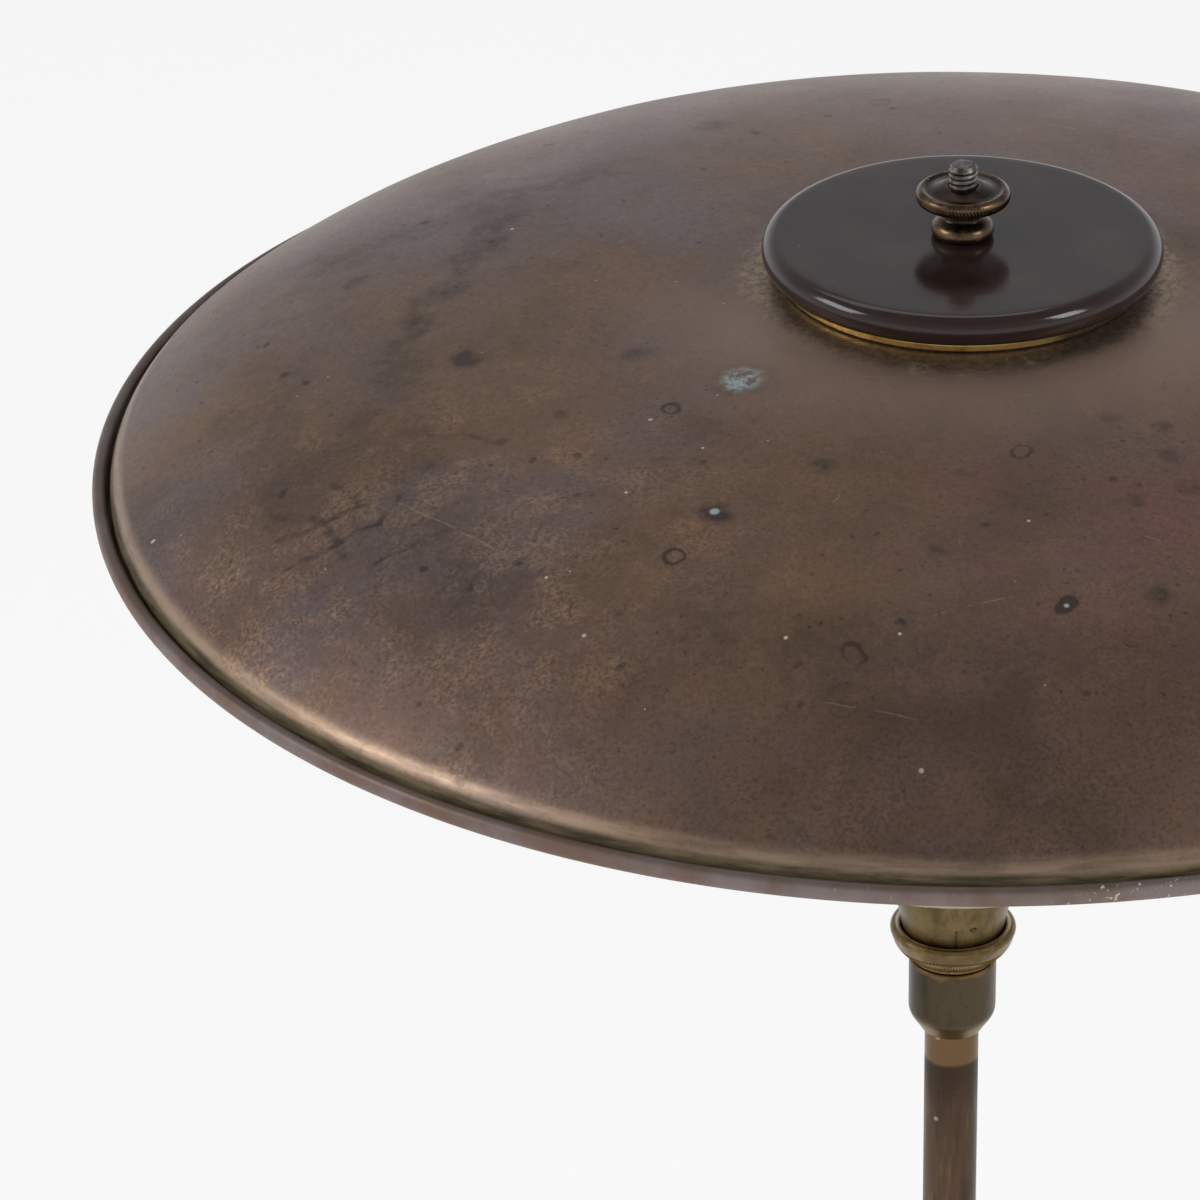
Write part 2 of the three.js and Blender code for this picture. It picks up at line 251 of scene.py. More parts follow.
# stains on the shade: x, y, size in mm, strength
darkStains = [
    (-111, -32, 6.5, 0.8), (-72, -38, 5.5, 0.55), (-30, -88, 4.5, 0.6), (44, -70, 4, 0.55), (46, -82, 4, 0.5),
    (33, -68, 4, 0.45), (50, -93, 5, 0.5), (-5, -120, 3, 0.5), (43, -131, 4, 0.6), (-52.5, -104.5, 6, 0.75),
    (-48, -52, 11, 0.6), (38, -100, 3, 0.5), (-88, -62, 3, 0.4), (-118, -75, 3.5, 0.4), (72, -88, 5, 0.5),
    (90, -60, 5, 0.5), (23, -136, 3.4, 0.6), (-140, 20, 5, 0.4), (-60, 96, 7, 0.4), (120, 40, 6, 0.4),
]
# rings left by drops: x, y, radius, strength
dropRings = [
    (-63, -63, 2.1, 0.8), (-61.5, -118.5, 2.5, 0.9), (13.5, -83, 2.4, 0.9), (-10, -48.8, 2.2, 0.6),
    (-25, -46.8, 2.0, 0.5), (23, -136, 1.7, 0.9), (-22, -150, 2.2, 0.5),
    (88, -20, 2.4, 0.7), (-20, 110, 3.0, 0.6),
]
# long soft smears: from, to, width, strength
smears = [
    ((-108, 42), (-124, -12), 5, 0.4), ((-124, -12), (-131, -52), 4.5, 0.3), ((-148, 38), (-84, 68), 6, 0.25),
    ((-146, -66), (-104, -118), 10, 0.2), ((-104, -118), (-30, -146), 10, 0.18),
    ((-30, -146), (48, -147), 9, 0.16),
    ((-165, 10), (-150, -60), 9, 0.2),
]
# verdigris dots: x, y, size, size of the core
verdigrisDots = [(-52.5, -104.3, 1.5, 0.6), (23, -136, 0.8, 0.3)]
# fine pale scratches: from, to, width
scratches = [
    ((-27, -103), (-22.5, -94), 0.22), ((-17, -87.5), (-14, -83.5), 0.2), ((-22, -52.3), (-3, -53.2), 0.3),
    ((0, -114), (1, -127), 0.2), ((13, -60), (17, -57.5), 0.3), ((-9, -141), (14, -133), 0.18),
    ((-58, -96), (-64, -92), 0.2), ((-100, -108), (-128, -80), 0.25), ((62, -120), (40, -112), 0.2),
    ((20, 92), (52, 84), 0.25), ((118, -30), (112, 12), 0.22), ((-34, -160), (-8, -166), 0.2),
]
# crisp pale specks: x, y, size
paleSpecks = [
    (-68, -67, 0.6), (-105, 35, 0.6), (-72, -95, 0.5), (-36, -145, 0.6), (-7, -177, 0.7), (-180, -62, 0.7),
    (-79, -138, 0.6), (-12, -145, 0.5), (-56, -80, 0.45), (15, -109, 0.5), (-88, -120, 0.5), (60, -118, 0.5),
]
# dark hooked scuffs where something was dragged
scuffs = [
    ((-152, -74), (-140, -84)), ((-140, -84), (-133, -97)),
    ((-149, -86), (-131, -83)), ((-146, -95), (-126, -91)),
    ((-126, -91), (-121, -80)), ((-137, -72), (-131, -83)),
    ((-128, -104), (-110, -98)), ((-118, -62), (-100, -70)),
]


# nearness to a stroke between two places on the shade, 1 on it
def stroke(g, flat, start, end, width, soft):
    a = Vector((*start, 0))
    run = Vector((*end, 0)) - a
    offset = g.vector("SUBTRACT", flat, tuple(a))
    dot = g.vector("DOT_PRODUCT", offset, tuple(run / run.length_squared), out="Value")
    along = g.node("Clamp", None, {"Value": dot})
    nearest = g.vector("SCALE", tuple(run), scale=along)
    return g.ease(width, width * soft, g.away(offset, nearest))


def shadePatina():
    g = Graph("shade_patina")
    look = shadeLook
    x, y = g.split(g.point)[:2]
    radius, height = g.place()
    angle = g.maths("ARCTAN2", y, x)
    flat = g.join(x, y, 0.0)
    wander = g.node("TexNoise", None, {"Vector": g.point, "Scale": 0.09, "Detail": 4.0}, 1)
    sway = g.vector("SUBTRACT", wander, (0.5, 0.5, 0.5))
    bent = g.vector("ADD", flat, g.vector("SCALE", sway, scale=2.6))
    loose = g.vector("ADD", flat, g.vector("SCALE", sway, scale=7.0))
    drift = g.vector("ADD", flat, g.vector("SCALE", sway, scale=24.0))
    wide = g.vector("ADD", flat, g.vector("SCALE", sway, scale=60.0))

    # broad zones of the patina, and a painted violet sheen towards the back and sides
    colour = g.mix(g.patches(0.38, 0.66, 70, 4, 0.6, 1.3), look["brown"], look["gold"])
    golden = g.near(wide, (-95, -62, 0), 75, 20)
    colour = g.mix(golden * 0.55, colour, look["gold"])
    colour = g.mix(g.near(wide, (-12, -112, 0), 80, 15) * 0.35, colour, look["olive"])
    rosy = g.near(wide, (38, -96, 0), 70, 12) + g.near(wide, (75, 70, 0), 80, 20)
    colour = g.mix(rosy * g.patches(0.36, 0.62, 34, 4, 0.6, 5.1) * 0.75, colour, look["rose"])
    # painted violet sheen, growing away from the front where the dome is seen at a glancing angle
    glancingSheen = g.ease(60, 130, g.away(wide, (30, -110, 0))) * g.patches(0.42, 0.62, 46, 4, 0.55, 9.4)
    colour = g.mix(glancingSheen * 0.6, colour, look["violetSheen"])

    # mottling where the brass shows through
    rub = g.near(wide, (-128, -108, 0), 95, 30) + g.ease(165, 194, radius) * 0.1 + 0.16
    sand = g.lumps(0.9, 4, 0.72, 6.1)
    mottle = g.patches(0.44, 0.62, 12, 6, 0.68, 2.2) * g.ease(0.42, 0.62, sand)
    colour = g.mix(g.maths("MINIMUM", mottle * rub * 0.55, 1.0), colour, look["pale gold"])
    cloud = g.patches(0.45, 0.72, 26, 6, 0.62, 7.7)
    colour = g.mix(cloud * 0.5, colour, look["olive"])
    grain = g.lumps(1.3, 3, 0.7, 3.1)
    colour = g.mix(g.ease(0.55, 0.30, sand) * 0.34, colour, look["dark"])
    colour = g.mix(g.ease(0.35, 0.75, grain) * 0.22, colour, look["dark"])

    # stains, smears and drop rings
    dark = g.spots(5.5, 0.10, 0.28, 11, loose) * 0.55 + g.spots(2.3, 0.10, 0.30, 31, loose) * 0.5
    for sx, sy, size, strength in darkStains:
        dark = dark + g.near(loose, (sx, sy, 0), size, size * 0.25) * strength
    for sx, sy, size, strength in dropRings:
        band = g.maths("ABSOLUTE", g.away(loose, (sx, sy, 0)) - size)
        dark = dark + g.ease(0.75, 0.1, band) * strength
    for start, end, width, strength in smears:
        dark = dark + stroke(g, drift, start, end, width * 1.7, 0.1) * strength
    for start, end in scuffs:
        dark = dark + stroke(g, loose, start, end, 1.5, 0.2) * 0.5
    dark = g.maths("MINIMUM", dark * g.patches(0.25, 0.6, 3.2, 4, 0.6, 8.8) * 1.25, 0.85)
    colour = g.mix(dark, colour, look["dark"])

    # the paler rise to the neck, a painted highlight on the far side, and grime with painted shade round the
    # neck
    # grime and painted shade in a ring round the neck, beside the cap
    neckGrimeAndShade = g.ease(56, 44, radius + (g.lumps(16, 4, 0.6, 4.4) - 0.5) * 26)
    rim = g.ease(92, 52, radius) * g.ease(20, -30, y)
    colour = g.mix(rim * 0.6, colour, tint(154, 132, 118))
    # painted highlight over the far side of the dome
    far = g.ease(40, 130, y)
    colour = g.mix(far * 0.35, colour, tint(158, 138, 130))
    colour = g.mix(neckGrimeAndShade * 0.12, colour, look["dark"])
    dust = g.ease(54, 45.5, radius + (g.lumps(9, 5, 0.7, 14.0) - 0.5) * 12)
    dust = dust * g.patches(0.38, 0.6, 1.6, 4, 0.7, 16.0)
    colour = g.mix(dust * 0.7, colour, tint(176, 156, 130))

    # verdigris, specks and scratches
    bloom = g.near(loose, (-48.5, -51.5, 0), 6.4, 2.0) * g.patches(0.42, 0.58, 2.6, 5, 0.66, 6.5)
    for sx, sy, size, core in verdigrisDots:
        bloom = bloom + g.near(flat, (sx, sy, 0), size, core)
    bloom = g.maths("MINIMUM", bloom + g.spots(7.5, 0.035, 0.06, 5), 1.0)
    colour = g.mix(bloom * 0.85, colour, look["verdigris"])
    pale = g.spots(6.0, 0.16, 0.05, 17) * 0.8
    for start, end, width in scratches:
        pale = pale + stroke(g, bent, start, end, width * 1.3, 0.2) * 0.14
    for sx, sy, size in paleSpecks:
        pale = pale + g.near(flat, (sx, sy, 0), size, size * 0.5) * 0.85
    pale = g.maths("MINIMUM", pale, 1.0)
    colour = g.mix(pale, colour, look["pale"])

    # the worn shoulder with a painted highlight, the wall and gutter behind the bead, and the bead with
    # painted lilac sheen and painted shade on its top
    streak = g.lumps(1.0, 4, 0.6, 2.0, g.join(radius / 2.2, angle * 12, height / 2.2))
    # paler worn brass on the shoulder, lightened further as a painted highlight
    wornAndHighlight = g.ease(192.2, 194.6, radius) * g.ease(196.2, 195.2, radius) * g.ease(2.6, 4.2, height)
    colour = g.mix(wornAndHighlight * (0.3 + g.ease(0.35, 0.62, streak) * 0.5), colour, look["edge"])
    wall = g.ease(195.0, 195.6, radius) * g.ease(4.4, 3.0, height)
    colour = g.mix(wall, colour, g.mix(g.ease(0.3, 0.7, streak), look["groove"], look["wall"]))
    bead = g.ease(196.6, 197.1, radius)
    # patches of painted lilac sheen on the bead
    beadColour = g.mix(g.patches(0.4, 0.65, 18, 5, 0.6, 6.0), look["bead"], look["lilacSheen"])
    # painted shade darkening the top of the bead
    beadColour = g.mix(g.ease(1.2, 2.2, height) * 0.4, beadColour, look["dark"])
    chips = g.patches(0.63, 0.7, 2.4, 4, 0.7, 12.5) * g.patches(0.5, 0.62, 26, 2, 0.5, 1.9)
    colour = g.mix(bead, colour, g.mix(chips * 0.7, beadColour, look["edge"]))
    flakes = g.patches(0.6, 0.64, 1.5, 3, 0.6, 2.9) * g.near(g.point, (35, -197, rimZ / mm), 16, 8)
    colour = g.mix(bead * flakes, colour, tint(206, 200, 170))

    rough = 0.46 + (grain - 0.5) * 0.16 + (sand - 0.5) * 0.18 + (g.lumps(40, 4, 0.6, 15.0) - 0.5) * 0.28
    rough = rough + dark * 0.12 + bloom * 0.4 - bead * 0.2 - wornAndHighlight * 0.06 + wall * 0.25
    spun = g.lumps(1.0, 2, 0.5, 0.7, g.join(radius / 0.55, angle * 2.5, 0.0))
    relief = grain * 0.5 + sand * 0.8 + spun * 0.3 + bloom * 1.6 - pale * 0.4 - dark * 0.5
    return g.finish(colour, rough, 0.93 - bloom * 0.85 - dark * 0.25 - wall * 0.3, g.bump(relief, 0.05, 0.55))


# dirt in the finial's top, inside its lip, and in its waist
def finialWear(g, colour, radius, height):
    hollow = g.ease(9.3, 8.6, radius) * g.ease(67.6, 68.0, height) * 0.85
    waist = g.ease(6.4, 5.2, radius) * g.ease(66, 65, height) * 0.7
    return g.mix(hollow + waist, colour, tint(38, 30, 27))


# the collar: a pale inner lip that is a painted reflection, a browned roll, and a golden knurled flare that
# is worn gold and partly a painted reflection of the floor
def collarWearAndReflection(g, colour, radius, height):
    lip = g.ease(14.1, 13.5, radius) * g.ease(-127.4, -126.6, height)
    roll = g.ease(-129.2, -128.4, height) * (1 - lip)
    colour = g.mix(roll * g.patches(0.3, 0.6, 6, 4, 0.6, 31.0) * 0.6, colour, tint(82, 68, 50))
    # painted reflection making the inner lip pale
    colour = g.mix(lip * 0.85, colour, tint(226, 216, 194))
    # worn gold on the knurled flare, brightened as a painted reflection of the floor
    flareGoldAndReflection = g.ease(-128.6, -129.6, height) * g.patches(0.3, 0.55, 5, 4, 0.6, 33.0)
    return g.mix(flareGoldAndReflection * 0.7, colour, tint(186, 152, 98))


# the cup: gold at its top edge, and gold on the taper painted as a highlight where its bottom edge catches
# light
def cupGoldAndHighlight(g, colour, radius, height):
    loose = height + (g.lumps(4, 4, 0.6, 35.0) - 0.5) * 4
    # the gold on the taper is a painted highlight
    gold = g.ease(-147.0, -151.0, loose) + g.ease(-134.9, -134.1, loose) * 0.6
    return g.mix(gold * 0.6, colour, tint(142, 114, 70))


# old brass: a base brown, gold where hands and tools reach, dark in the hollows
def agedBrass(name, low, high, share=0.5, size=6.0, roughness=0.34, seed=0.0, stretch=(1, 1, 1), wearAndLight=None):
    darkest = tint(52, 42, 30)
    g = Graph(name)
    point = g.vector("MULTIPLY", g.point, stretch)
    patch = g.lumps(size, 5, 0.62, seed, point)
    colour = g.mix(g.ease(share - 0.16, share + 0.14, patch), low, high)
    stain = g.patches(0.56, 0.72, size * 0.45, 4, 0.65, seed + 4, point)
    colour = g.mix(stain * 0.6, colour, darkest)
    pits = g.spots(1.6, 0.12, 0.22, seed + 9)
    colour = g.mix(pits * 0.7, colour, darkest)
    edge = g.node("NewGeometry", out="Pointiness")
    colour = g.mix(g.ease(0.53, 0.62, edge) * 0.5, colour, tint(206, 176, 118))
    colour = g.mix(g.ease(0.47, 0.40, edge) * 0.6, colour, darkest)
    if wearAndLight:
        colour = wearAndLight(g, colour, *g.place())
    grain = g.lumps(0.5, 3, 0.6, seed + 2)
    rough = roughness + (patch - 0.5) * 0.3 + stain * 0.15 + (grain - 0.5) * 0.12
    relief = grain * 0.5 - pits + g.lumps(3.0, 3, 0.5, seed + 6) * 0.6
    return g.finish(colour, rough, 0.95 - stain * 0.3, g.bump(relief, 0.03, 0.5))


# the ring under the cap: grimy, with a bright stretch at the front left
def neckBrass():
    g = Graph("neck_brass")
    # brighter, smoother stretch at the front left of the ring
    brightStretch = g.ease(44, 20, g.away(g.point, (-16, -38, (rimZ + shadeTop * mm) / mm)))
    patch = g.lumps(5, 5, 0.65, 3.0)
    grimy = g.mix(g.ease(0.4, 0.65, patch), tint(58, 49, 37), tint(104, 90, 64))
    colour = g.mix(brightStretch * g.ease(0.25, 0.5, patch), grimy, tint(214, 184, 112))
    rough = 0.5 - brightStretch * 0.24 + (patch - 0.5) * 0.2
    return g.finish(colour, rough, 0.75 + brightStretch * 0.25, g.bump(g.lumps(0.6, 3, 0.6, 5.0), 0.03, 0.5))


# the moulded brown plastic of the cap and the lampholder
capLook = {
    "body": tint(34, 24, 23),
    "warm": tint(45, 30, 27),
    "edge": tint(44, 29, 25),
    "dust": tint(168, 154, 144),
}


def bakelite(name, shine, rimFrom=None):
    g = Graph(name)
    look = capLook
    radius = g.place()[0]
    swirl = g.lumps(14, 5, 0.6, 3.0)
    colour = g.mix(g.ease(0.4, 0.7, swirl), look["body"], look["warm"])
    if rimFrom is not None:
        colour = g.mix(g.ease(rimFrom, rimFrom + 2.4, radius) * 0.8, colour, look["edge"])
    dust = g.spots(4.2, 0.12, 0.045, 3) + g.spots(9.0, 0.10, 0.03, 13)
    haze = g.patches(0.45, 0.75, 24, 4, 0.6, 8.0)
    wipe = g.lumps(1.0, 3, 0.6, 5.0, g.vector("MULTIPLY", g.point, (0.9, 0.12, 0.5)))
    colour = g.mix(g.maths("MINIMUM", dust, 1.0) * 0.8, colour, look["dust"])
    colour = g.mix(haze * 0.03, colour, look["dust"])
    rough = shine + haze * 0.07 + (wipe - 0.5) * 0.06 + dust * 0.4
    relief = g.lumps(5.0, 2, 0.5, 2.0) * 0.7 + g.lumps(0.6, 2, 0.5, 7.0) * 0.12 + dust * 0.4
    return g.finish(colour, rough, normal=g.bump(relief, 0.035, 0.35), IOR=1.46)


def oldSteel(name, shade=tint(112, 106, 100), rust=tint(86, 58, 40), seed=0.0):
    g = Graph(name)
    patch = g.lumps(2.4, 5, 0.65, seed)
    colour = g.mix(g.ease(0.35, 0.65, patch), tint(60, 56, 54), shade)
    red = g.patches(0.56, 0.7, 3.4, 4, 0.6, seed + 3)
    colour = g.mix(red * 0.55, colour, rust)
    grain = g.lumps(0.35, 3, 0.6, seed + 1)
    rough = 0.38 + red * 0.3 + (grain - 0.5) * 0.2
    return g.finish(colour, rough, 0.95 - red * 0.4, g.bump(grain + patch * 0.5, 0.03, 0.5))


# the stem: brown patina over brass, with a bare band under the cup
def stemPatina():
    g = Graph("stem_patina")
    height = g.place()[1]
    long = g.vector("MULTIPLY", g.point, (1, 1, 0.16))
    patch = g.lumps(7, 5, 0.6, 2.6, long)
    colour = g.mix(g.ease(0.36, 0.66, patch), tint(60, 48, 40), tint(90, 72, 58))
    rub = g.patches(0.52, 0.7, 3.5, 5, 0.65, 7.2, long)
    colour = g.mix(rub * 0.4, colour, tint(134, 108, 76))
    ragged = (g.lumps(3, 4, 0.6, 4.0) - 0.5) * 1.6
    bandTop = g.ease(-162.2, -160.8, height + ragged)
    band = bandTop * g.ease(-152.0, -154.0, height)
    colour = g.mix(band, colour, g.mix(patch, tint(122, 96, 66), tint(94, 74, 52)))
    # darker band on the stem below the bare band
    lowDarkBand = g.ease(-177.0, -163.0, height + ragged) * (1 - bandTop)
    colour = g.mix(lowDarkBand * 0.62, colour, tint(58, 46, 40))
    specks = g.spots(5, 0.14, 0.16, 3)
    colour = g.mix(specks * 0.6, colour, tint(178, 160, 138))
    pits = g.spots(1.8, 0.12, 0.24, 8)
    colour = g.mix(pits * 0.6, colour, tint(48, 38, 30))
    brush = g.lumps(0.5, 3, 0.6, 3.0, g.vector("MULTIPLY", g.point, (1, 1, 0.04)))
    rough = 0.36 + (patch - 0.5) * 0.2 + (brush - 0.5) * 0.12 + lowDarkBand * 0.1 - band * 0.04
    relief = brush * 0.6 + g.lumps(0.5, 2, 0.6, 9.0) * 0.3 - pits * 0.8
    return g.finish(colour, rough, 0.94 - specks * 0.6, g.bump(relief, 0.03, 0.5))


def enamel(name, base, stain, roughness=0.3):
    g = Graph(name)
    age = g.patches(0.42, 0.72, 34, 5, 0.6, 2.0)
    colour = g.mix(age * 0.5, base, stain)
    chip = g.patches(0.71, 0.74, 5.0, 5, 0.7, 6.0)
    colour = g.mix(chip * 0.8, colour, tint(108, 88, 66))
    dust = g.spots(6, 0.12, 0.06, 4)
    colour = g.mix(dust * 0.5, colour, tint(120, 104, 84))
    skin = g.lumps(1.4, 3, 0.5, 3.0)
    return g.finish(colour, roughness + age * 0.12 + chip * 0.2, normal=g.bump(skin - chip * 2, 0.03, 0.4))


def opalGlass(name, base, roughness, seed=0.0):
    g = Graph(name)
    cloud = g.lumps(26, 4, 0.5, seed)
    colour = g.mix(g.ease(0.35, 0.7, cloud), base, tint(236, 222, 190))
    dust = g.spots(4.5, 0.10, 0.05, seed + 3)
    colour = g.mix(dust * 0.5, colour, tint(150, 136, 112))
    wave = g.lumps(9, 2, 0.4, seed + 5)
    depths = {"Subsurface_Weight": 0.35, "Subsurface_Scale": 0.006, "Subsurface_Radius": (1.0, 0.85, 0.7)}
    rough = roughness + (cloud - 0.5) * 0.1 + dust * 0.3
    return g.finish(colour, rough, normal=g.bump(wave, 0.12, 0.5), IOR=1.52, **depths)


def feltCloth():
    g = Graph("felt_green")
    fibre = g.lumps(0.5, 5, 0.75, 2.0, g.vector("MULTIPLY", g.point, (1, 0.5, 1)))
    tuft = g.lumps(5.0, 4, 0.6, 5.0)
    colour = g.mix(g.ease(0.3, 0.7, fibre), tint(30, 52, 38), tint(58, 84, 62))
    colour = g.mix(g.ease(0.5, 0.72, tuft) * 0.4, colour, tint(86, 92, 70))
    normal = g.bump(fibre + tuft * 0.4, 0.25, 0.8)
    return g.finish(colour, 0.92 + (fibre - 0.5) * 0.1, normal=normal, Sheen_Weight=0.4)


def castIron():
    g = Graph("cast_iron")
    sand = g.lumps(0.9, 4, 0.7, 2.0)
    rust = g.patches(0.52, 0.7, 9, 5, 0.65, 5.0)
    colour = g.mix(rust * 0.6, g.mix(sand, tint(34, 34, 35), tint(62, 60, 58)), tint(92, 56, 36))
    return g.finish(colour, 0.62 + sand * 0.25, 0.75 - rust * 0.5, g.bump(sand, 0.2, 0.8))


def rubber():
    g = Graph("old_rubber")
    skin = g.lumps(0.8, 4, 0.6, 4.0)
    bloom = g.patches(0.5, 0.7, 5, 4, 0.6, 1.0)
    colour = g.mix(bloom * 0.35, g.mix(skin, tint(34, 31, 29), tint(52, 47, 43)), tint(120, 112, 104))
    return g.finish(colour, 0.72 + bloom * 0.15, normal=g.bump(skin, 0.05, 0.6))


def braidedCloth():
    g = Graph("braided_cloth")
    x, y, z = g.split(g.point)
    turn = g.maths("ARCTAN2", y, x)
    left = g.maths("SINE", turn * 6 + z * 2.4)
    right = g.maths("SINE", turn * 6 - z * 2.4)
    weave = left * right * 0.5 + 0.5
    colour = g.mix(weave, tint(70, 44, 26), tint(132, 92, 54))
    fuzz = g.lumps(0.3, 3, 0.6, 3.0)
    return g.finish(colour, 0.85 + fuzz * 0.1, normal=g.bump(weave + fuzz * 0.4, 0.12, 0.8))


finishes = {
    "shade": shadePatina(),
    "inside": enamel("shade_inside", tint(226, 220, 202), tint(196, 178, 138)),
    "stem": stemPatina(),
    "foot": agedBrass("foot_patina", tint(98, 80, 68), tint(124, 100, 74), 0.52, 30.0, 0.38, 3.0),
    "cup": agedBrass(
        "cup_patina", tint(58, 51, 42), tint(82, 71, 54), 0.5, 8.0, 0.34, 5.0, (1, 1, 0.4), cupGoldAndHighlight,
    ),
    "ring": agedBrass(
        "ring_brass", tint(100, 82, 54), tint(140, 116, 76), 0.48, 5.0, 0.3, 27.0, wearAndLight=collarWearAndReflection,
    ),
    "collar": agedBrass(
        "collar_brass", tint(100, 82, 52), tint(148, 122, 76), 0.48, 7.0, 0.3, 8.0, (1, 1, 0.5),
    ),
    "cone": agedBrass("cone_brass", tint(84, 72, 48), tint(118, 100, 66), 0.5, 6.0, 0.32, 12.0, (1, 1, 0.5)),
    "neck": neckBrass(),
    "finial": agedBrass(
        "finial_brass", tint(66, 53, 44), tint(112, 90, 66), 0.52, 4.0, 0.28, 18.0, wearAndLight=finialWear,
    ),
    "arm": agedBrass("arm_brass", tint(132, 108, 66), tint(176, 146, 88), 0.5, 12.0, 0.32, 22.0, (1, 1, 0.3)),
    "cap": bakelite("cap_bakelite", 0.13, 42.6),
    "bakelite": bakelite("moulded_bakelite", 0.2),
    "stud": oldSteel("stud_steel", tint(128, 122, 116)),
    "steel": oldSteel("fastener_steel", tint(140, 134, 126), tint(92, 66, 46), 6.0),
    "plate": oldSteel("plate_steel", tint(110, 106, 102), tint(92, 62, 42), 11.0),
    "iron": castIron(),
    "ceramic": enamel("glazed_ceramic", tint(224, 218, 200), tint(188, 172, 138), 0.16),
    "bowl": opalGlass("bowl_glass", tint(242, 234, 212), 0.14),
    "bulb": opalGlass("bulb_glass", tint(246, 242, 232), 0.22, 7.0),
    "felt": feltCloth(),
    "rubber": rubber(),
    "cloth": braidedCloth(),
}
print("finishes made:", len(finishes))


# shapes

# rounds the corners of an outline; a point's third number is how far its rounding reaches
def rounded(points, closed=True, steps=4):
    outline = []
    count = len(points)
    for i, (r, z, *reach) in enumerate(points):
        corner = Vector((r, z))
        ends = not closed and i in (0, count - 1)
        if ends or not reach:
            outline.append(corner)
            continue
        before = Vector(points[i - 1][:2]) - corner
        after = Vector(points[(i + 1) % count][:2]) - corner
        start = corner + before * min(reach[0] / before.length, 0.48)
        end = corner + after * min(reach[0] / after.length, 0.48)
        for step in range(steps + 1):
            t = step / steps
            outline.append(start * (1 - t) ** 2 + corner * 2 * t * (1 - t) + end * t * t)
    return [(p.x, p.y) for p in outline]


def arc(centreR, centreZ, radius, start, end, steps):
    angles = [math.radians(start + (end - start) * i / steps) for i in range(steps + 1)]
    return [(centreR + r, centreZ + z) for r, z in (polar(radius, a) for a in angles)]


# turns an outline round the z axis; shape(r, z, angle) may move each point, in mm
def spin(name, outline, steps=96, closed=True, shape=None, finishOf=None):
    mesh = bmesh.new()
    rings = []
    for r, z in outline:
        if r < 1e-6:
            rings.append([mesh.verts.new((0, 0, z * mm))] * steps)
            continue
        ringVerts = []
        for i in range(steps):
            angle = 2 * math.pi * i / steps
            pointR, pointZ = shape(r, z, angle) if shape else (r, z)
            x, y = polar(pointR, angle)
            ringVerts.append(mesh.verts.new((x * mm, y * mm, pointZ * mm)))
        rings.append(ringVerts)
    pairs = len(rings) if closed else len(rings) - 1
    for k in range(pairs):
        lower, upper = rings[k], rings[(k + 1) % len(rings)]
        for i in range(steps):
            j = (i + 1) % steps
            corners = list(dict.fromkeys((lower[i], lower[j], upper[j], upper[i])))
            if len(corners) > 2:
                face = mesh.faces.new(corners)
                face.material_index = finishOf(k) if finishOf else 0
    bmesh.ops.recalc_face_normals(mesh, faces=mesh.faces)
    data = bpy.data.meshes.new(name)
    mesh.to_mesh(data)
    mesh.free()
    return data


def meshFrom(curve):
    holder = bpy.data.objects.new(curve.name, curve)
    data = bpy.data.meshes.new_from_object(holder)
    bpy.data.objects.remove(holder)
    bpy.data.curves.remove(curve)
    return data


# a flat plate between two heights, from outlines in mm; the first is its edge and the rest are holes
def plateMesh(name, outlines, low, high, bevel=0.25):
    curve = bpy.data.curves.new(name, "CURVE")
    curve.dimensions = "2D"
    curve.fill_mode = "BOTH"
    curve.extrude = (high - low) / 2 * mm - bevel * mm
    curve.bevel_depth = bevel * mm
    curve.bevel_resolution = 2
    curve.offset = -bevel * mm
    for outline in outlines:
        spline = curve.splines.new("POLY")
        spline.points.add(len(outline) - 1)
        for point, (px, py) in zip(spline.points, outline):
            point.co = (px * mm, py * mm, 0, 1)
        spline.use_cyclic_u = True
    data = meshFrom(curve)
    data.transform(Matrix.Translation((0, 0, (low + high) / 2 * mm)))
    data.name = name
    return data


def circle(radius, x=0.0, y=0.0, steps=48):
    around = [polar(radius, 2 * math.pi * i / steps) for i in range(steps)]
    return [(x + dx, y + dy) for dx, dy in around]


# a sheet's outline from the path of its middle, half its thickness to each side
def sheetOutline(path, half):
    tops, unders = [], []
    for i, (r, z) in enumerate(path):
        before, after = Vector(path[max(i - 1, 0)]), Vector(path[min(i + 1, len(path) - 1)])
        run = (after - before).normalized()
        tops.append((r - run.y * half, z + run.x * half))
        unders.append((r + run.y * half, z - run.x * half))
    return tops + unders[::-1]


# hands a mesh to the frame in place of a CAD node
def stand(node, data, *looks, at=None, sharp=32):
    obj = addObject("visual_" + node, data)
    if at is not None:
        data.transform(at)
    for look in looks:
        data.materials.append(finishes[look])
    data.shade_smooth()
    data.set_sharp_from_angle(angle=math.radians(sharp))
    weighted = obj.modifiers.new("even_shading", "WEIGHTED_NORMAL")
    weighted.keep_sharp = True
    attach(obj, bodyOf[node])
    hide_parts(node)
    return obj


# where a node stands: the middle of its box and its lowest point
def foot(node):
    return Matrix.Translation((*middle(node).xy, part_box(node)[0].z))


# a node turned from an outline whose heights start at the node's lowest point
def turnedPiece(node, points, look, steps=96, shape=None):
    data = spin(node, rounded(points), steps, True, shape)
    return stand(node, data, look, at=foot(node))


atRim = Matrix.Translation((0, 0, rimZ))


# a node turned from an outline whose heights start at the shade's rim
def headPiece(node, points, look, steps=96, closed=True, shape=None):
    return stand(node, spin(node, rounded(points, closed), steps, closed, shape), look, at=atRim)


# upper shade: a spun dome, a short wall and an outward gutter with a rolled lip

shadeShape = {
    "steps": 288,
    "sheet": 0.9,
    "opening": 40.0,
    "flange": 44.0,
    "edge": 194.0,
    "edgeHeight": 5.2,
    "fall": 0.08,
    "curve": 3.75,
    "wall": 195.45,
    "gutter": 2.05,
    "lip": 1.15,
    "unevenness": 0.16,
}


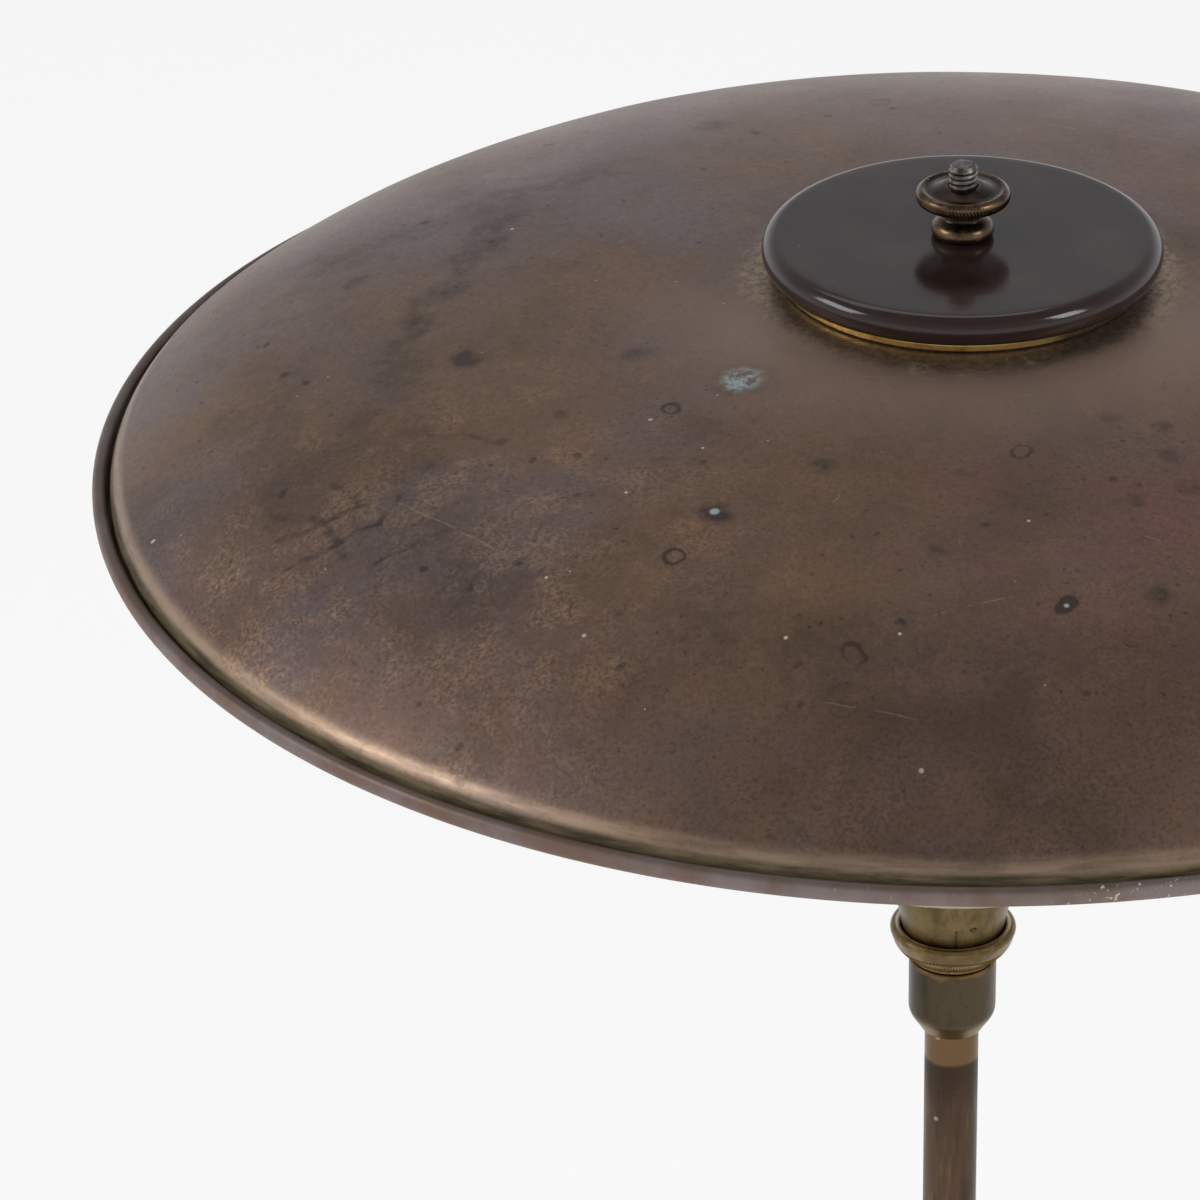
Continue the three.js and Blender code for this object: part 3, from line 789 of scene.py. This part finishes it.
def domeHeight(radius):
    s = shadeShape
    run = s["edge"] - s["flange"]
    along = (radius - s["flange"]) / run
    drop = shadeTop - s["edgeHeight"] - s["fall"] * run
    return shadeTop - s["fall"] * (radius - s["flange"]) - drop * along ** s["curve"]


def makeShade():
    s = shadeShape
    half = s["sheet"] / 2
    flat = shadeTop - half
    path = [(s["opening"], flat), (s["opening"] + 1.6, flat), (s["flange"] - 0.8, flat)]
    domeSteps = 84
    last = s["edge"] - 2.2
    for i in range(domeSteps + 1):
        radius = s["flange"] + (last - s["flange"]) * (i / domeSteps) ** 0.9
        path.append((radius, domeHeight(radius) - half))
    # the shoulder turns from the dome into the wall
    start = Vector(path[-1])
    slope = (Vector(path[-1]) - Vector(path[-2])).normalized()
    corner = start + slope * ((s["wall"] - start.x) / slope.x)
    end = Vector((s["wall"], corner.y - 3.0))
    for i in range(1, 9):
        t = i / 8
        bent = start * (1 - t) ** 2 + corner * 2 * t * (1 - t) + end * t * t
        path.append((bent.x, bent.y))
    wallEnd = len(path)
    path.append((s["wall"], 0.6))
    outer = s["wall"] + 2 * s["gutter"]
    path += arc(s["wall"] + s["gutter"], 0, s["gutter"], 180, 360, 14)
    path += arc(outer - s["lip"], 0.6, s["lip"], 0, 148, 10)

    outline = sheetOutline(path, half)
    total = len(outline)

    # hand-spun brass is never quite even
    def uneven(r, z, angle):
        calm = unit((190 - r) / 25) * unit((r - 46) / 12)
        place = Vector((r * math.cos(angle), r * math.sin(angle), 0))
        wave = noise.noise(place / 46) + 0.5 * noise.noise(place / 19 + Vector((7, 3, 1)))
        return r, z + wave * s["unevenness"] * calm

    def side(k):
        return 1 if total - wallEnd <= k < total - 1 else 0

    data = spin("upper_shade", outline, s["steps"], shape=uneven, finishOf=side)
    data.transform(Matrix.Translation((0, 0, rimZ)))
    return stand("upper_shade", data, "shade", "inside", sharp=50)


makeShade()
turnedPiece("neck_ring", [(39.2, 0), (41.8, 0, 0.2), (41.8, 1.7, 0.4), (39.2, 1.7)], "neck", 160)
print("shade made")


# cap and finial

capShape = [
    (3.7, 3.4, 0.2), (9.0, 3.4, 0.3), (9.0, 0, 0.4), (38.9, 0, 0.4), (38.9, 1.3),
    *arc(42.0, 5.0, 3.7, -90, 86, 22), (40.5, 8.7), (3.7, 8.7, 0.3),
]
turnedPiece("cap_disc", capShape, "cap", 200)

finialShape = {
    "ribs": 84,
    "depth": 0.16,
    "twist": 0.9,  # turn of the knurl over its height
}


def finialKnurl(r, z, angle):
    f = finialShape
    band = unit((r - 9.9) / 0.5) * unit((10.2 - z) / 0.7)
    ribs = math.cos(f["ribs"] * angle + f["twist"] * z * 4)
    return r - f["depth"] * (1 - ribs) * band, z


finialOutline = [
    (3.5, 0.6), (6.2, 0.6, 0.1), (6.2, 0, 0.1), (6.8, 0, 0.3),
    (7.3, 1.1, 0.5), (6.9, 2.6, 0.8), (5.6, 3.6, 0.5),
    (4.7, 4.4, 0.6), (4.7, 6.8, 0.3), (6.5, 7.3, 0.5), *arc(9.0, 9.45, 1.82, -82, 62, 12), (9.45, 11.28, 0.3),
    (8.4, 10.8, 0.3), (7.2, 10.9, 0.5), (4.7, 11.8, 0.4), (3.5, 11.9),
]
turnedPiece("finial_nut", finialOutline, "finial", finialShape["ribs"] * 4, shape=finialKnurl)
turnedPiece("finial_washer", [(3.7, 0), (5.8, 0, 0.1), (5.8, 0.4, 0.1), (3.7, 0.4)], "finial", 64)

thread = {"pitch": 1.27, "depth": 0.32, "rows": 8}


# a screw thread cut into a rod, heights in mm
def threadedRod(node, radius, height, look, pitch, depth, steps=40):
    rowGap = pitch / thread["rows"]
    count = int((height - 0.9) / rowGap)
    outline = [(0, 0), (radius - depth - 0.3, 0)]
    outline += [(radius, 0.4 + i * rowGap) for i in range(count + 1)]
    outline += [(radius - depth - 0.3, height - 0.05), (radius * 0.35, height), (0, height)]

    def groove(r, z, angle):
        if r < radius:
            return r, z
        phase = (z / pitch - angle / (2 * math.pi)) % 1
        cutIn = abs(phase * 2 - 1)
        fade = min(z / 0.8, (height - z) / 0.8, 1)
        return radius - depth * cutIn - (1 - fade) * 0.3, z

    return stand(node, spin(node, outline, steps, False, groove), look, at=foot(node), sharp=45)


threadedRod("stud", 3.3, 37.0, "stud", thread["pitch"], thread["depth"])
print("cap and finial made")


# collar group: knurled ring, cone and cup

collar = {"ribs": 112, "depth": 0.2}


def collarKnurl(r, z, angle):
    band = unit((r - 10.5) / 0.3) * unit((5.2 - z) / 0.8)
    band *= 1 if r > 10.6 + (z - 1.2) * 0.75 else 0
    return r - collar["depth"] * (1 - math.cos(collar["ribs"] * angle)) * band, z


collarOutline = [
    (5.3, 0), (10.1, 0, 0.2), (10.5, 0.5, 0.3), (11.2, 1.2, 0.5),
    (12.2, 2.2, 0.6), (13.3, 3.3, 0.6), (14.3, 4.9, 0.7),
    *arc(13.7, 7.7, 1.38, -28, 205, 16), (12.4, 5.0, 0.6), (11.2, 1.9, 0.5), (5.3, 1.5),
]
turnedPiece("knurled_ring", collarOutline, "ring", collar["ribs"] * 4, shape=collarKnurl)

cone = {
    "seamAngle": math.radians(-86),
    "seamWidth": 0.32,
    "holeAngle": math.radians(-68.5),
    "holeHeight": 11.8,
    "holeRadius": 0.85,
}


# a soldered seam up the front and a small tapped hole beside it
def coneMarks(r, z, angle):
    outside = r > coneRadius(z) - 0.1
    if not outside:
        return r, z
    turn = (angle + math.pi) % (2 * math.pi) - math.pi
    seam = abs(turn - cone["seamAngle"]) * r
    cutIn = 0.3 * unit(1.4 - seam / cone["seamWidth"]) * (1 if z < 12 else 0)
    hole = math.hypot((turn - cone["holeAngle"]) * r, z - cone["holeHeight"])
    cutIn += 0.7 * unit((cone["holeRadius"] - hole) / 0.25)
    return r - cutIn, z


conePath = [(5.7, 0.45), (10.1, 0.45), (11.5, 4.9), (12.4, 10.1), (13.6, 15.4), (14.3, 20.4), (14.65, 24.5)]


def coneRadius(z):
    for (r0, z0), (r1, z1) in zip(conePath[1:], conePath[2:]):
        if z <= z1:
            return r0 + (r1 - r0) * max(z - z0, 0) / (z1 - z0) + 0.45
    return conePath[-1][0] + 0.45


def makeCone():
    rows = [0.9 + i * 0.3 for i in range(79)]
    outside = [(5.3, 0), (9.9, 0), (10.4, 0.25)] + [(coneRadius(z), z) for z in rows]
    inside = [(coneRadius(z) - 0.9, z) for z in (24.4, 20, 15, 10, 5, 0.95)] + [(5.3, 0.9)]
    data = spin("gallery_cone", outside + inside, 288, True, coneMarks)
    return stand("gallery_cone", data, "cone", at=foot("gallery_cone"), sharp=50)


makeCone()
turnedPiece("holder_cup", [
    (6.7, 0, 0.2), (7.3, 0.1, 0.4), (8.6, 2.2, 1.4), (10.5, 5.0, 1.6), (10.5, 19.4, 0.5), (10.1, 19.8, 0.2),
    (5.3, 19.8), (5.3, 7.4), (6.7, 7.4),
], "cup", 128)
turnedPiece("holder_nipple", [(3.8, 0), (5, 0, 0.3), (5, 56.6, 0.3), (3.8, 56.6)], "steel", 48)
print("collar made")


# stem and foot

stemHeight = (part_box("stem_tube")[1].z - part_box("stem_tube")[0].z) / mm
turnedPiece("stem_tube", [(5.5, 0), (6.5, 0, 0.3), (6.5, stemHeight, 0.3), (5.5, stemHeight)], "stem", 96)
turnedPiece("stem_foot_collar", [
    (6.8, 0), (12.6, 0, 0.4), (12.8, 0.7, 0.5), (13.0, 2.3, 1.2),
    (12.6, 3.9, 0.8), (10.4, 4.3, 0.4), (9.0, 5.3, 0.9),
    (8.6, 7.7, 0.8), (7.6, 9.2, 0.5), (6.8, 9.3, 0.1),
], "collar", 112)

footShape = {
    "sheet": 1.2,
    "wall": 96.3,
    "wallFoot": 6.0,
    "neck": 44.0,
    "bead": 1.6,
    "steps": 200,
    "switchHole": 5.2,
    "inletHole": 4.9,
}


# cuts a round hole at the middle of a node, through the foot's top or its back
def boreHole(shell, name, node, radius, fromBack):
    drill = bmesh.new()
    size = radius * mm
    bmesh.ops.create_cone(drill, cap_ends=True, segments=48, radius1=size, radius2=size, depth=0.03)
    if fromBack:
        bmesh.ops.rotate(drill, verts=drill.verts, matrix=Matrix.Rotation(math.pi / 2, 3, "X"))
    bmesh.ops.translate(drill, verts=drill.verts, vec=middle(node))
    data = bpy.data.meshes.new(name)
    drill.to_mesh(data)
    drill.free()
    cutter = addObject(name, data)
    cut = shell.modifiers.new(name, "BOOLEAN")
    cut.operation = "DIFFERENCE"
    cut.object = cutter
    bpy.context.view_layer.update()
    baked = bpy.data.meshes.new_from_object(shell.evaluated_get(bpy.context.evaluated_depsgraph_get()))
    shell.modifiers.remove(cut)
    shell.data = baked
    bpy.data.objects.remove(cutter)


def makeFoot():
    f = footShape
    half = f["sheet"] / 2
    top, flat = f["neck"] - half, footTop - half
    path = [(7.4, top), (9.4, top), *arc(9.4, top - 1.4, 1.4, 90, 10, 4)]
    # from the neck out to the flat ring
    sweep = ((11.4, f["neck"] - 3), (12, footTop + 4), (30, flat), (54, flat))
    a, b, c, d = (Vector(place) for place in sweep)
    for i in range(25):
        t = i / 24
        bend = a * (1 - t) ** 3 + b * 3 * t * (1 - t) ** 2 + c * 3 * t * t * (1 - t) + d * t ** 3
        path.append((bend.x, bend.y))
    path += [(radius, flat) for radius in (60, 70, 80, 88)]
    path += arc(f["wall"] - 3, flat - 3, 3, 84, 0, 7)
    path += [(f["wall"], 10), (f["wall"], f["wallFoot"])]
    path += arc(f["wall"] + f["bead"], 3.2, f["bead"], 180, 440, 18)
    data = spin("foot_shell", sheetOutline(path, half), f["steps"])
    shell = stand("foot_shell", data, "foot", sharp=50)
    boreHole(shell, "switch_hole", "switch_bushing", f["switchHole"], False)
    boreHole(shell, "inlet_hole", "inlet_bush", f["inletHole"], True)


makeFoot()
turnedPiece("felt_ring", [(42, 0, 0.4), (95, 0, 0.4), (95, 2, 0.6), (42, 2, 0.6)], "felt", 144)
print("stem and foot made")


# arms, nuts and screws

# a rod with round ends along a smooth route, in mm
def rod(node, route, radius, look):
    curve = bpy.data.curves.new(node, "CURVE")
    curve.dimensions = "3D"
    curve.bevel_depth = radius * mm
    curve.bevel_resolution = 6
    curve.use_fill_caps = True
    curve.resolution_u = 14
    spline = curve.splines.new("BEZIER")
    spline.bezier_points.add(len(route) - 1)
    for point, place in zip(spline.bezier_points, route):
        point.co = Vector(place) * mm
        point.handle_left_type = point.handle_right_type = "AUTO"
    return stand(node, meshFrom(curve), look, at=atRim, sharp=50)


# a nut with chamfered corners; across is the distance between flats
def hexNut(node, across, bore, height, look):
    half = across / 2
    outline = [(bore, 0.3), (bore + 0.3, 0), (half * 0.96, 0), (half * 1.16, height * 0.14)]
    outline += [(half * 1.16, height * 0.86), (half * 0.96, height)]
    outline += [(bore + 0.3, height), (bore, height - 0.3)]

    def flats(r, z, angle):
        turn = (angle + math.pi / 6) % (math.pi / 3) - math.pi / 6
        return min(r, half / math.cos(turn)), z

    return stand(node, spin(node, outline, 96, True, flats), look, at=foot(node), sharp=25)


# a screw with a domed slotted head; drawn head up, or turned over when flip is set
def slottedScrew(node, headRadius, headHeight, shankRadius, length, look, flip=False):
    slotHalf, slotDepth = headRadius * 0.16, headHeight * 0.5
    turns = [i * math.pi / 20 for i in range(10)]
    top = [(headRadius * math.cos(a), headHeight * (0.45 + 0.55 * math.sin(a))) for a in turns]
    outline = [(0, -length), (shankRadius - 0.3, -length), (shankRadius, -length + 0.3), (shankRadius, 0)]
    outline.append((headRadius, 0))
    outline += top + [(headRadius * f, headHeight) for f in (0.14, 0.1)] + [(0, headHeight)]

    def slot(r, z, angle):
        inSlot = abs(r * math.sin(angle)) < slotHalf and z > headHeight * 0.44
        return r, z - slotDepth if inSlot else z

    low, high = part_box(node)
    seat = low.z + headHeight * mm if flip else high.z - headHeight * mm
    at = Matrix.Translation((*middle(node).xy, seat))
    if flip:
        at = at @ Matrix.Rotation(math.pi, 4, "X")
    return stand(node, spin(node, outline, 96, False, slot), look, at=at, sharp=25)


# foot details: plate, screws, cord inlet and switch

def makePlate():
    screws = ("plate_screw_1", "plate_screw_2", "plate_screw_3")
    holes = [circle(2.4, *(middle(screw).xy / mm)) for screw in screws]
    stand("bottom_plate", plateMesh("bottom_plate", [circle(93, steps=144), *holes], 2.3, 3.8, 0.3), "plate")
    for screw in screws:
        slottedScrew(screw, 3.6, 1.3, 1.9, 7.4, "steel", flip=True)


makePlate()

inletEnd = (0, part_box("inlet_bush")[0].y, middle("inlet_bush").z)
inletAt = Matrix.Translation(inletEnd) @ Matrix.Rotation(-math.pi / 2, 4, "X")
inletOutline = rounded([
    (3.2, 0, 0.3), (4.6, 0, 0.3), (4.6, 5.7, 0.1), (5.4, 5.7, 0.3),
    (5.4, 7.2, 0.5), (4.6, 7.9, 0.5), (3.2, 7.9, 0.8),
])
stand("inlet_bush", spin("inlet_bush", inletOutline, 72), "bakelite", at=inletAt)

switchAt = Vector((*middle("switch_nut").xy, footTop * mm))
switchTurn = math.atan2(switchAt.y, switchAt.x)
switchNut = {"ribs": 36, "depth": 0.22}
lever = {"tilt": 12, "pivot": 1.5}


def switchKnurl(r, z, angle):
    band = unit((r - 7.2) / 0.5)
    return r - switchNut["depth"] * (1 - math.cos(switchNut["ribs"] * angle)) * band, z


def makeSwitch():
    nut = [(5.1, 0), (8, 0), (8, 2.0), (7.2, 2.8), (6, 2.7), (5.1, 2.7)]
    turnedPiece("switch_nut", nut, "collar", switchNut["ribs"] * 6, shape=switchKnurl)
    rows = [(4.8 - 0.28 * (i % 2), 0.5 + i * 0.36) for i in range(21)]
    bushing = [(2.9, 0), (4.5, 0), *rows, (4.4, 8.1), (3.4, 8.3), (2.9, 8.0)]
    turnedPiece("switch_bushing", bushing, "collar", 72)
    outline = rounded([
        (0, -2), (1.3, -1.6, 0.4), (1.5, 0, 0.4), (1.5, 5, 1.5),
        (2, 12, 1.5), (2.6, 16, 1.2), (2.3, 17.8, 0.9),
        (1.2, 18.8, 0.5), (0, 19),
    ], False, 6)
    turn = Matrix.Rotation(switchTurn, 4, "Z") @ Matrix.Translation((0, 0, lever["pivot"] * mm))
    at = Matrix.Translation(switchAt) @ turn @ Matrix.Rotation(math.radians(lever["tilt"]), 4, "Y")
    stand("switch_lever", spin("switch_lever", outline, 64, False), "collar", at=at)


makeSwitch()
hexNut("stem_lock_nut", 20, 6.8, 2.4, "steel")
turnedPiece("stem_lock_washer", [(6.8, 0), (13, 0, 0.3), (13, 1, 0.3), (6.8, 1)], "steel", 72)
print("foot details made")


# bowl, lampholder and bulb

bowl = {"centre": -16.2, "outer": 90.0, "glass": 3.0, "hole": 11.0, "rim": 82.0}


def makeBowl():
    b = bowl
    inner = b["outer"] - b["glass"]
    low, high = (-math.degrees(math.acos(reach / b["outer"])) for reach in (b["hole"], b["rim"]))
    lowIn, highIn = (-math.degrees(math.acos(reach / inner)) for reach in (b["hole"], b["rim"] - 3.4))
    outside = arc(0, b["centre"], b["outer"], low, high, 44)
    inside = arc(0, b["centre"], inner, highIn, lowIn, 44)
    a, d = Vector(outside[-1]), Vector(inside[0])
    out = (a - d).normalized()
    lip = Vector((-out.y, out.x)) * 0.5
    rim = [a - out * 0.15 + lip, (a + d) / 2 + lip * 2.2, d + out * 0.3 + lip]
    data = spin("lower_bowl", outside + [(p.x, p.y) for p in rim] + inside, 200)
    stand("lower_bowl", data, "bowl", at=atRim, sharp=60)


makeBowl()
headPiece("bowl_gasket", [
    (13, -106.6, 0.2), (16, -106.6, 0.3), (16, -105.6, 0.3), (13, -105.6, 0.2),
], "rubber", 72)
headPiece("bowl_clamp", [(5.3, -101.2), (17, -101.2, 0.4), (17, -99.9, 0.4), (5.3, -99.9)], "arm", 72)
hexNut("bowl_nut", 14, 5.3, 2.8, "steel")
headPiece("lampholder_shell", [
    (5.3, -96.5), (11, -96.5, 1.2), (17, -93.5, 2.2), (19.5, -88, 1.8), (19.5, -76, 0.1), (19.1, -75.4, 0.2),
    (19.1, -74.6, 0.2), (19.5, -74, 0.1), (19.5, -52.6, 0.3),
    (18.9, -52, 0.2), (16.9, -52, 0.3), (16.9, -86.5),
    (14.6, -92), (5.3, -92.9),
], "bakelite", 128)
headPiece("lampholder_insulator", [
    (2, -90.6), (14, -90.6, 0.3), (14, -84.4, 0.3), (3.9, -84.4, 0.2), (3.9, -85.8), (2, -85.8),
], "ceramic", 72)
lampThread = {"pitch": 3.629}


def holderThread(r, z, angle):
    wave = 0.5 + 0.5 * math.cos(2 * math.pi * (z / lampThread["pitch"] - angle / (2 * math.pi)))
    return r + 0.3 * wave if r < 14 else r - 0.3 * (1 - wave), z


def capThread(r, z, angle):
    wave = 0.5 - 0.5 * math.cos(2 * math.pi * (z / lampThread["pitch"] - angle / (2 * math.pi)))
    band = unit((z + 73.4) / 2) * unit((-55 - z) / 1.5) if r > 12.5 else 0
    return r - 0.75 * wave * band, z


threadRows = [-84.1 + i * 0.5 for i in range(63)]
holderTube = [(14.4, z) for z in threadRows] + [(13.7, z) for z in threadRows[::-1]]
headPiece("lampholder_thread", holderTube, "arm", 72, shape=holderThread)
headPiece("contact_plunger", [
    (0, -89.6), (1.6, -89.6, 0.3), (1.6, -84.1), (3.4, -84.1, 0.3),
    (3.4, -81.6, 0.8), (2.4, -80.6, 0.6), (0, -80.4),
], "arm", 48, False)
headPiece("bulb_tip", [
    (0, -80.1), (2.2, -80.1, 0.7), (3, -79.4, 0.4), (3, -78.8), (0, -78.8),
], "steel", 48, False)
headPiece("bulb_insulator", [
    (0.8, -78.5), (5, -78.5, 0.8), (9, -76.8, 0.5), (9, -76.6), (0.8, -76.6),
], "bakelite", 72)
capRows = [(13.2, -73 + i * 0.45) for i in range(41)]
headPiece("bulb_cap", [
    (9, -76.3), (12.2, -74.6, 0.6), *capRows, (12.8, -53.4, 0.2), (12.35, -53.4), (12.3, -73), (9, -75.6),
], "steel", 96, shape=capThread)


bulb = {"glass": 0.8, "globe": 27.0, "globeAt": -10.5}


def makeBulb():
    half = bulb["glass"] / 2
    path = rounded([
        (6.5, -72), (10.6, -71.8, 1.0), (11.3, -70.6, 0.8), (11.4, -53, 3), (12.6, -46, 3), (16.8, -36, 4.5),
        (22.8, -25, 5), *arc(0, bulb["globeAt"], bulb["globe"], -18, 86, 22),
    ], False, 6)
    path.append((0, bulb["globeAt"] + bulb["globe"]))
    outside, inside = [], []
    for i, (r, z) in enumerate(path[:-1]):
        run = (Vector(path[i + 1]) - Vector(path[max(i - 1, 0)])).normalized()
        outside.append((r + run.y * half, z - run.x * half))
        inside.append((max(r - run.y * half, 0.01), z + run.x * half))
    topZ = path[-1][1]
    outline = outside + [(0, topZ + half), (0, topZ - half)] + inside[::-1]
    stand("bulb_glass", spin("bulb_glass", outline, 96), "bulb", at=atRim, sharp=60)


makeBulb()
print("bowl, lampholder and bulb made")


# arms, ring and crown

arms = {
    "foot": 23.4,  # from the axis, where an arm stands on its ring
    "reach": 36.4,  # from the axis, where it meets the crown
    "thickness": 4.2,
    "screwHole": 1.5,
    "crown": 42.4,
    "spoke": 3.4,  # half a spoke's width
    "windowOut": 32.6,
    "windowIn": 9.0,
}
armAngles = [math.pi / 2 + i * 2 * math.pi / 3 for i in range(3)]


def screwHoles(radius):
    return [circle(arms["screwHole"], *polar(radius, angle), 24) for angle in armAngles]


# one of the crown's three windows, from the spoke at an angle to the next
def crownWindow(angle):
    far, near = arms["windowOut"], arms["windowIn"]
    farTurn, nearTurn = math.asin(arms["spoke"] / far), math.asin(arms["spoke"] / near)
    after = angle + 2 * math.pi / 3
    outer = [angle + farTurn + (after - angle - 2 * farTurn) * i / 40 for i in range(41)]
    inner = [after - nearTurn - (after - angle - 2 * nearTurn) * i / 16 for i in range(17)]
    return [polar(far, turn) for turn in outer] + [polar(near, turn) for turn in inner]


def makeArms():
    start, reach = arms["foot"], arms["reach"]
    ringOutlines = [circle(27, steps=120), circle(19.8, steps=96), *screwHoles(start)]
    stand("arm_ring", plateMesh("arm_ring", ringOutlines, -62, -59, 0.35), "arm", at=atRim)
    crownOutlines = [circle(arms["crown"], steps=160), circle(3.6, steps=40), *screwHoles(reach)]
    crownOutlines += [crownWindow(angle) for angle in armAngles]
    stand("crown_plate", plateMesh("crown_plate", crownOutlines, 44.2, 46.2, 0.3), "arm", at=atRim)
    route = [(start, -58.7), (start + 0.4, -52), (start + 7, -40), (reach - 1, -22)]
    route += [(reach, height) for height in (4, 30, 43.9)]
    for i, angle in enumerate(armAngles):
        rod(f"arm_{i + 1}", [(*polar(r, angle), z) for r, z in route], arms["thickness"] / 2, "arm")
        slottedScrew(f"arm_screw_{i + 1}", 2.6, 1.7, 1.2, 3.2, "steel", flip=True)
        slottedScrew(f"crown_screw_{i + 1}", 2.1, 1.0, 1.2, 2.0, "steel")


makeArms()
hexNut("stud_nut_lower", 11, 3.6, 5.3, "steel")
hexNut("stud_nut_upper", 11, 3.6, 3.9, "steel")
print("arms and crown made")


# CAD nodes kept as they are, with finishes of their own

keptFinishes = {
    "ballast": "iron",
    "terminal_block": "ceramic",
    "switch_body": "bakelite",
    "inner_flex": "cloth",
    "bulb_stem": "bulb",
}
for node, look in keptFinishes.items():
    for slotPlace in frame["nodes"][node].material_slots:
        slotPlace.material = finishes[look]


# floor, room light and soft boxes

studio = {
    "horizon": (0.95, 0.96, 1.0, 1),
    "middle": (0.45, 0.45, 0.46, 1),
    "zenith": (0.27, 0.26, 0.26, 1),
    "strength": 1.0,
    "floorGlow": 0.76,
    "floorSize": 14.0,
    "floorGap": 0.0003,  # keeps the floor's face off the felt's
}


def makeFloor():
    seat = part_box("felt_ring")[0].z - studio["floorGap"]
    mesh = bmesh.new()
    bmesh.ops.create_grid(mesh, x_segments=2, y_segments=2, size=studio["floorSize"])
    bmesh.ops.translate(mesh, verts=mesh.verts, vec=(0, 0, seat))
    data = bpy.data.meshes.new("floor")
    mesh.to_mesh(data)
    mesh.free()
    floor = addObject("floor", data)
    g = Graph("floor_paint")
    cloud = g.lumps(900, 2, 0.5, 1.0)
    colour = g.mix(cloud, (0.26, 0.26, 0.26, 1), (0.24, 0.24, 0.24, 1))
    g.finish(colour, 0.9, Emission_Color=(1, 1, 1, 1), Emission_Strength=studio["floorGlow"])
    data.materials.append(g.material)


def makeRoom():
    world = bpy.data.worlds.new("room")
    world.use_nodes = True
    tree = world.node_tree
    back = tree.nodes["Background"]
    place = tree.nodes.new("ShaderNodeTexCoord")
    parts = tree.nodes.new("ShaderNodeSeparateXYZ")
    ramp = tree.nodes.new("ShaderNodeValToRGB")
    tree.links.new(place.outputs["Generated"], parts.inputs[0])
    tree.links.new(parts.outputs["Z"], ramp.inputs["Fac"])
    ramp.color_ramp.interpolation = "EASE"
    ramp.color_ramp.elements[0].color = studio["horizon"]
    ramp.color_ramp.elements[0].position = 0.05
    ramp.color_ramp.elements[1].color = studio["zenith"]
    ramp.color_ramp.elements[1].position = 0.95
    ramp.color_ramp.elements.new(0.5).color = studio["middle"]
    tree.links.new(ramp.outputs["Color"], back.inputs["Color"])
    back.inputs["Strength"].default_value = studio["strength"]
    bpy.context.scene.world = world


# name: place in m from the shade's middle, width, height, watts
softBoxes = {
    "left_box": ((-1.5, -0.3, 1.0), 0.8, 0.6, 9),
    "right_box": ((1.4, -0.6, 1.1), 0.5, 0.7, 8),
    "top_box": ((-0.3, 0.9, 1.7), 1.4, 0.6, 3),
}


def makeLights():
    for name, (place, width, height, watts) in softBoxes.items():
        data = bpy.data.lights.new(name, "AREA")
        data.shape = "RECTANGLE"
        data.size = width
        data.size_y = height
        data.energy = watts
        lamp = addObject(name, data)
        spot = Vector(place) + Vector((0, 0, rimZ))
        aim = (Vector((0, 0, rimZ)) - spot).to_track_quat("-Z", "Y").to_matrix().to_4x4()
        lamp.matrix_world = Matrix.Translation(spot) @ aim


makeFloor()
makeRoom()
makeLights()
bpy.context.scene.view_settings.view_transform = "Standard"
print("room lit")

bpy.context.view_layer.update()
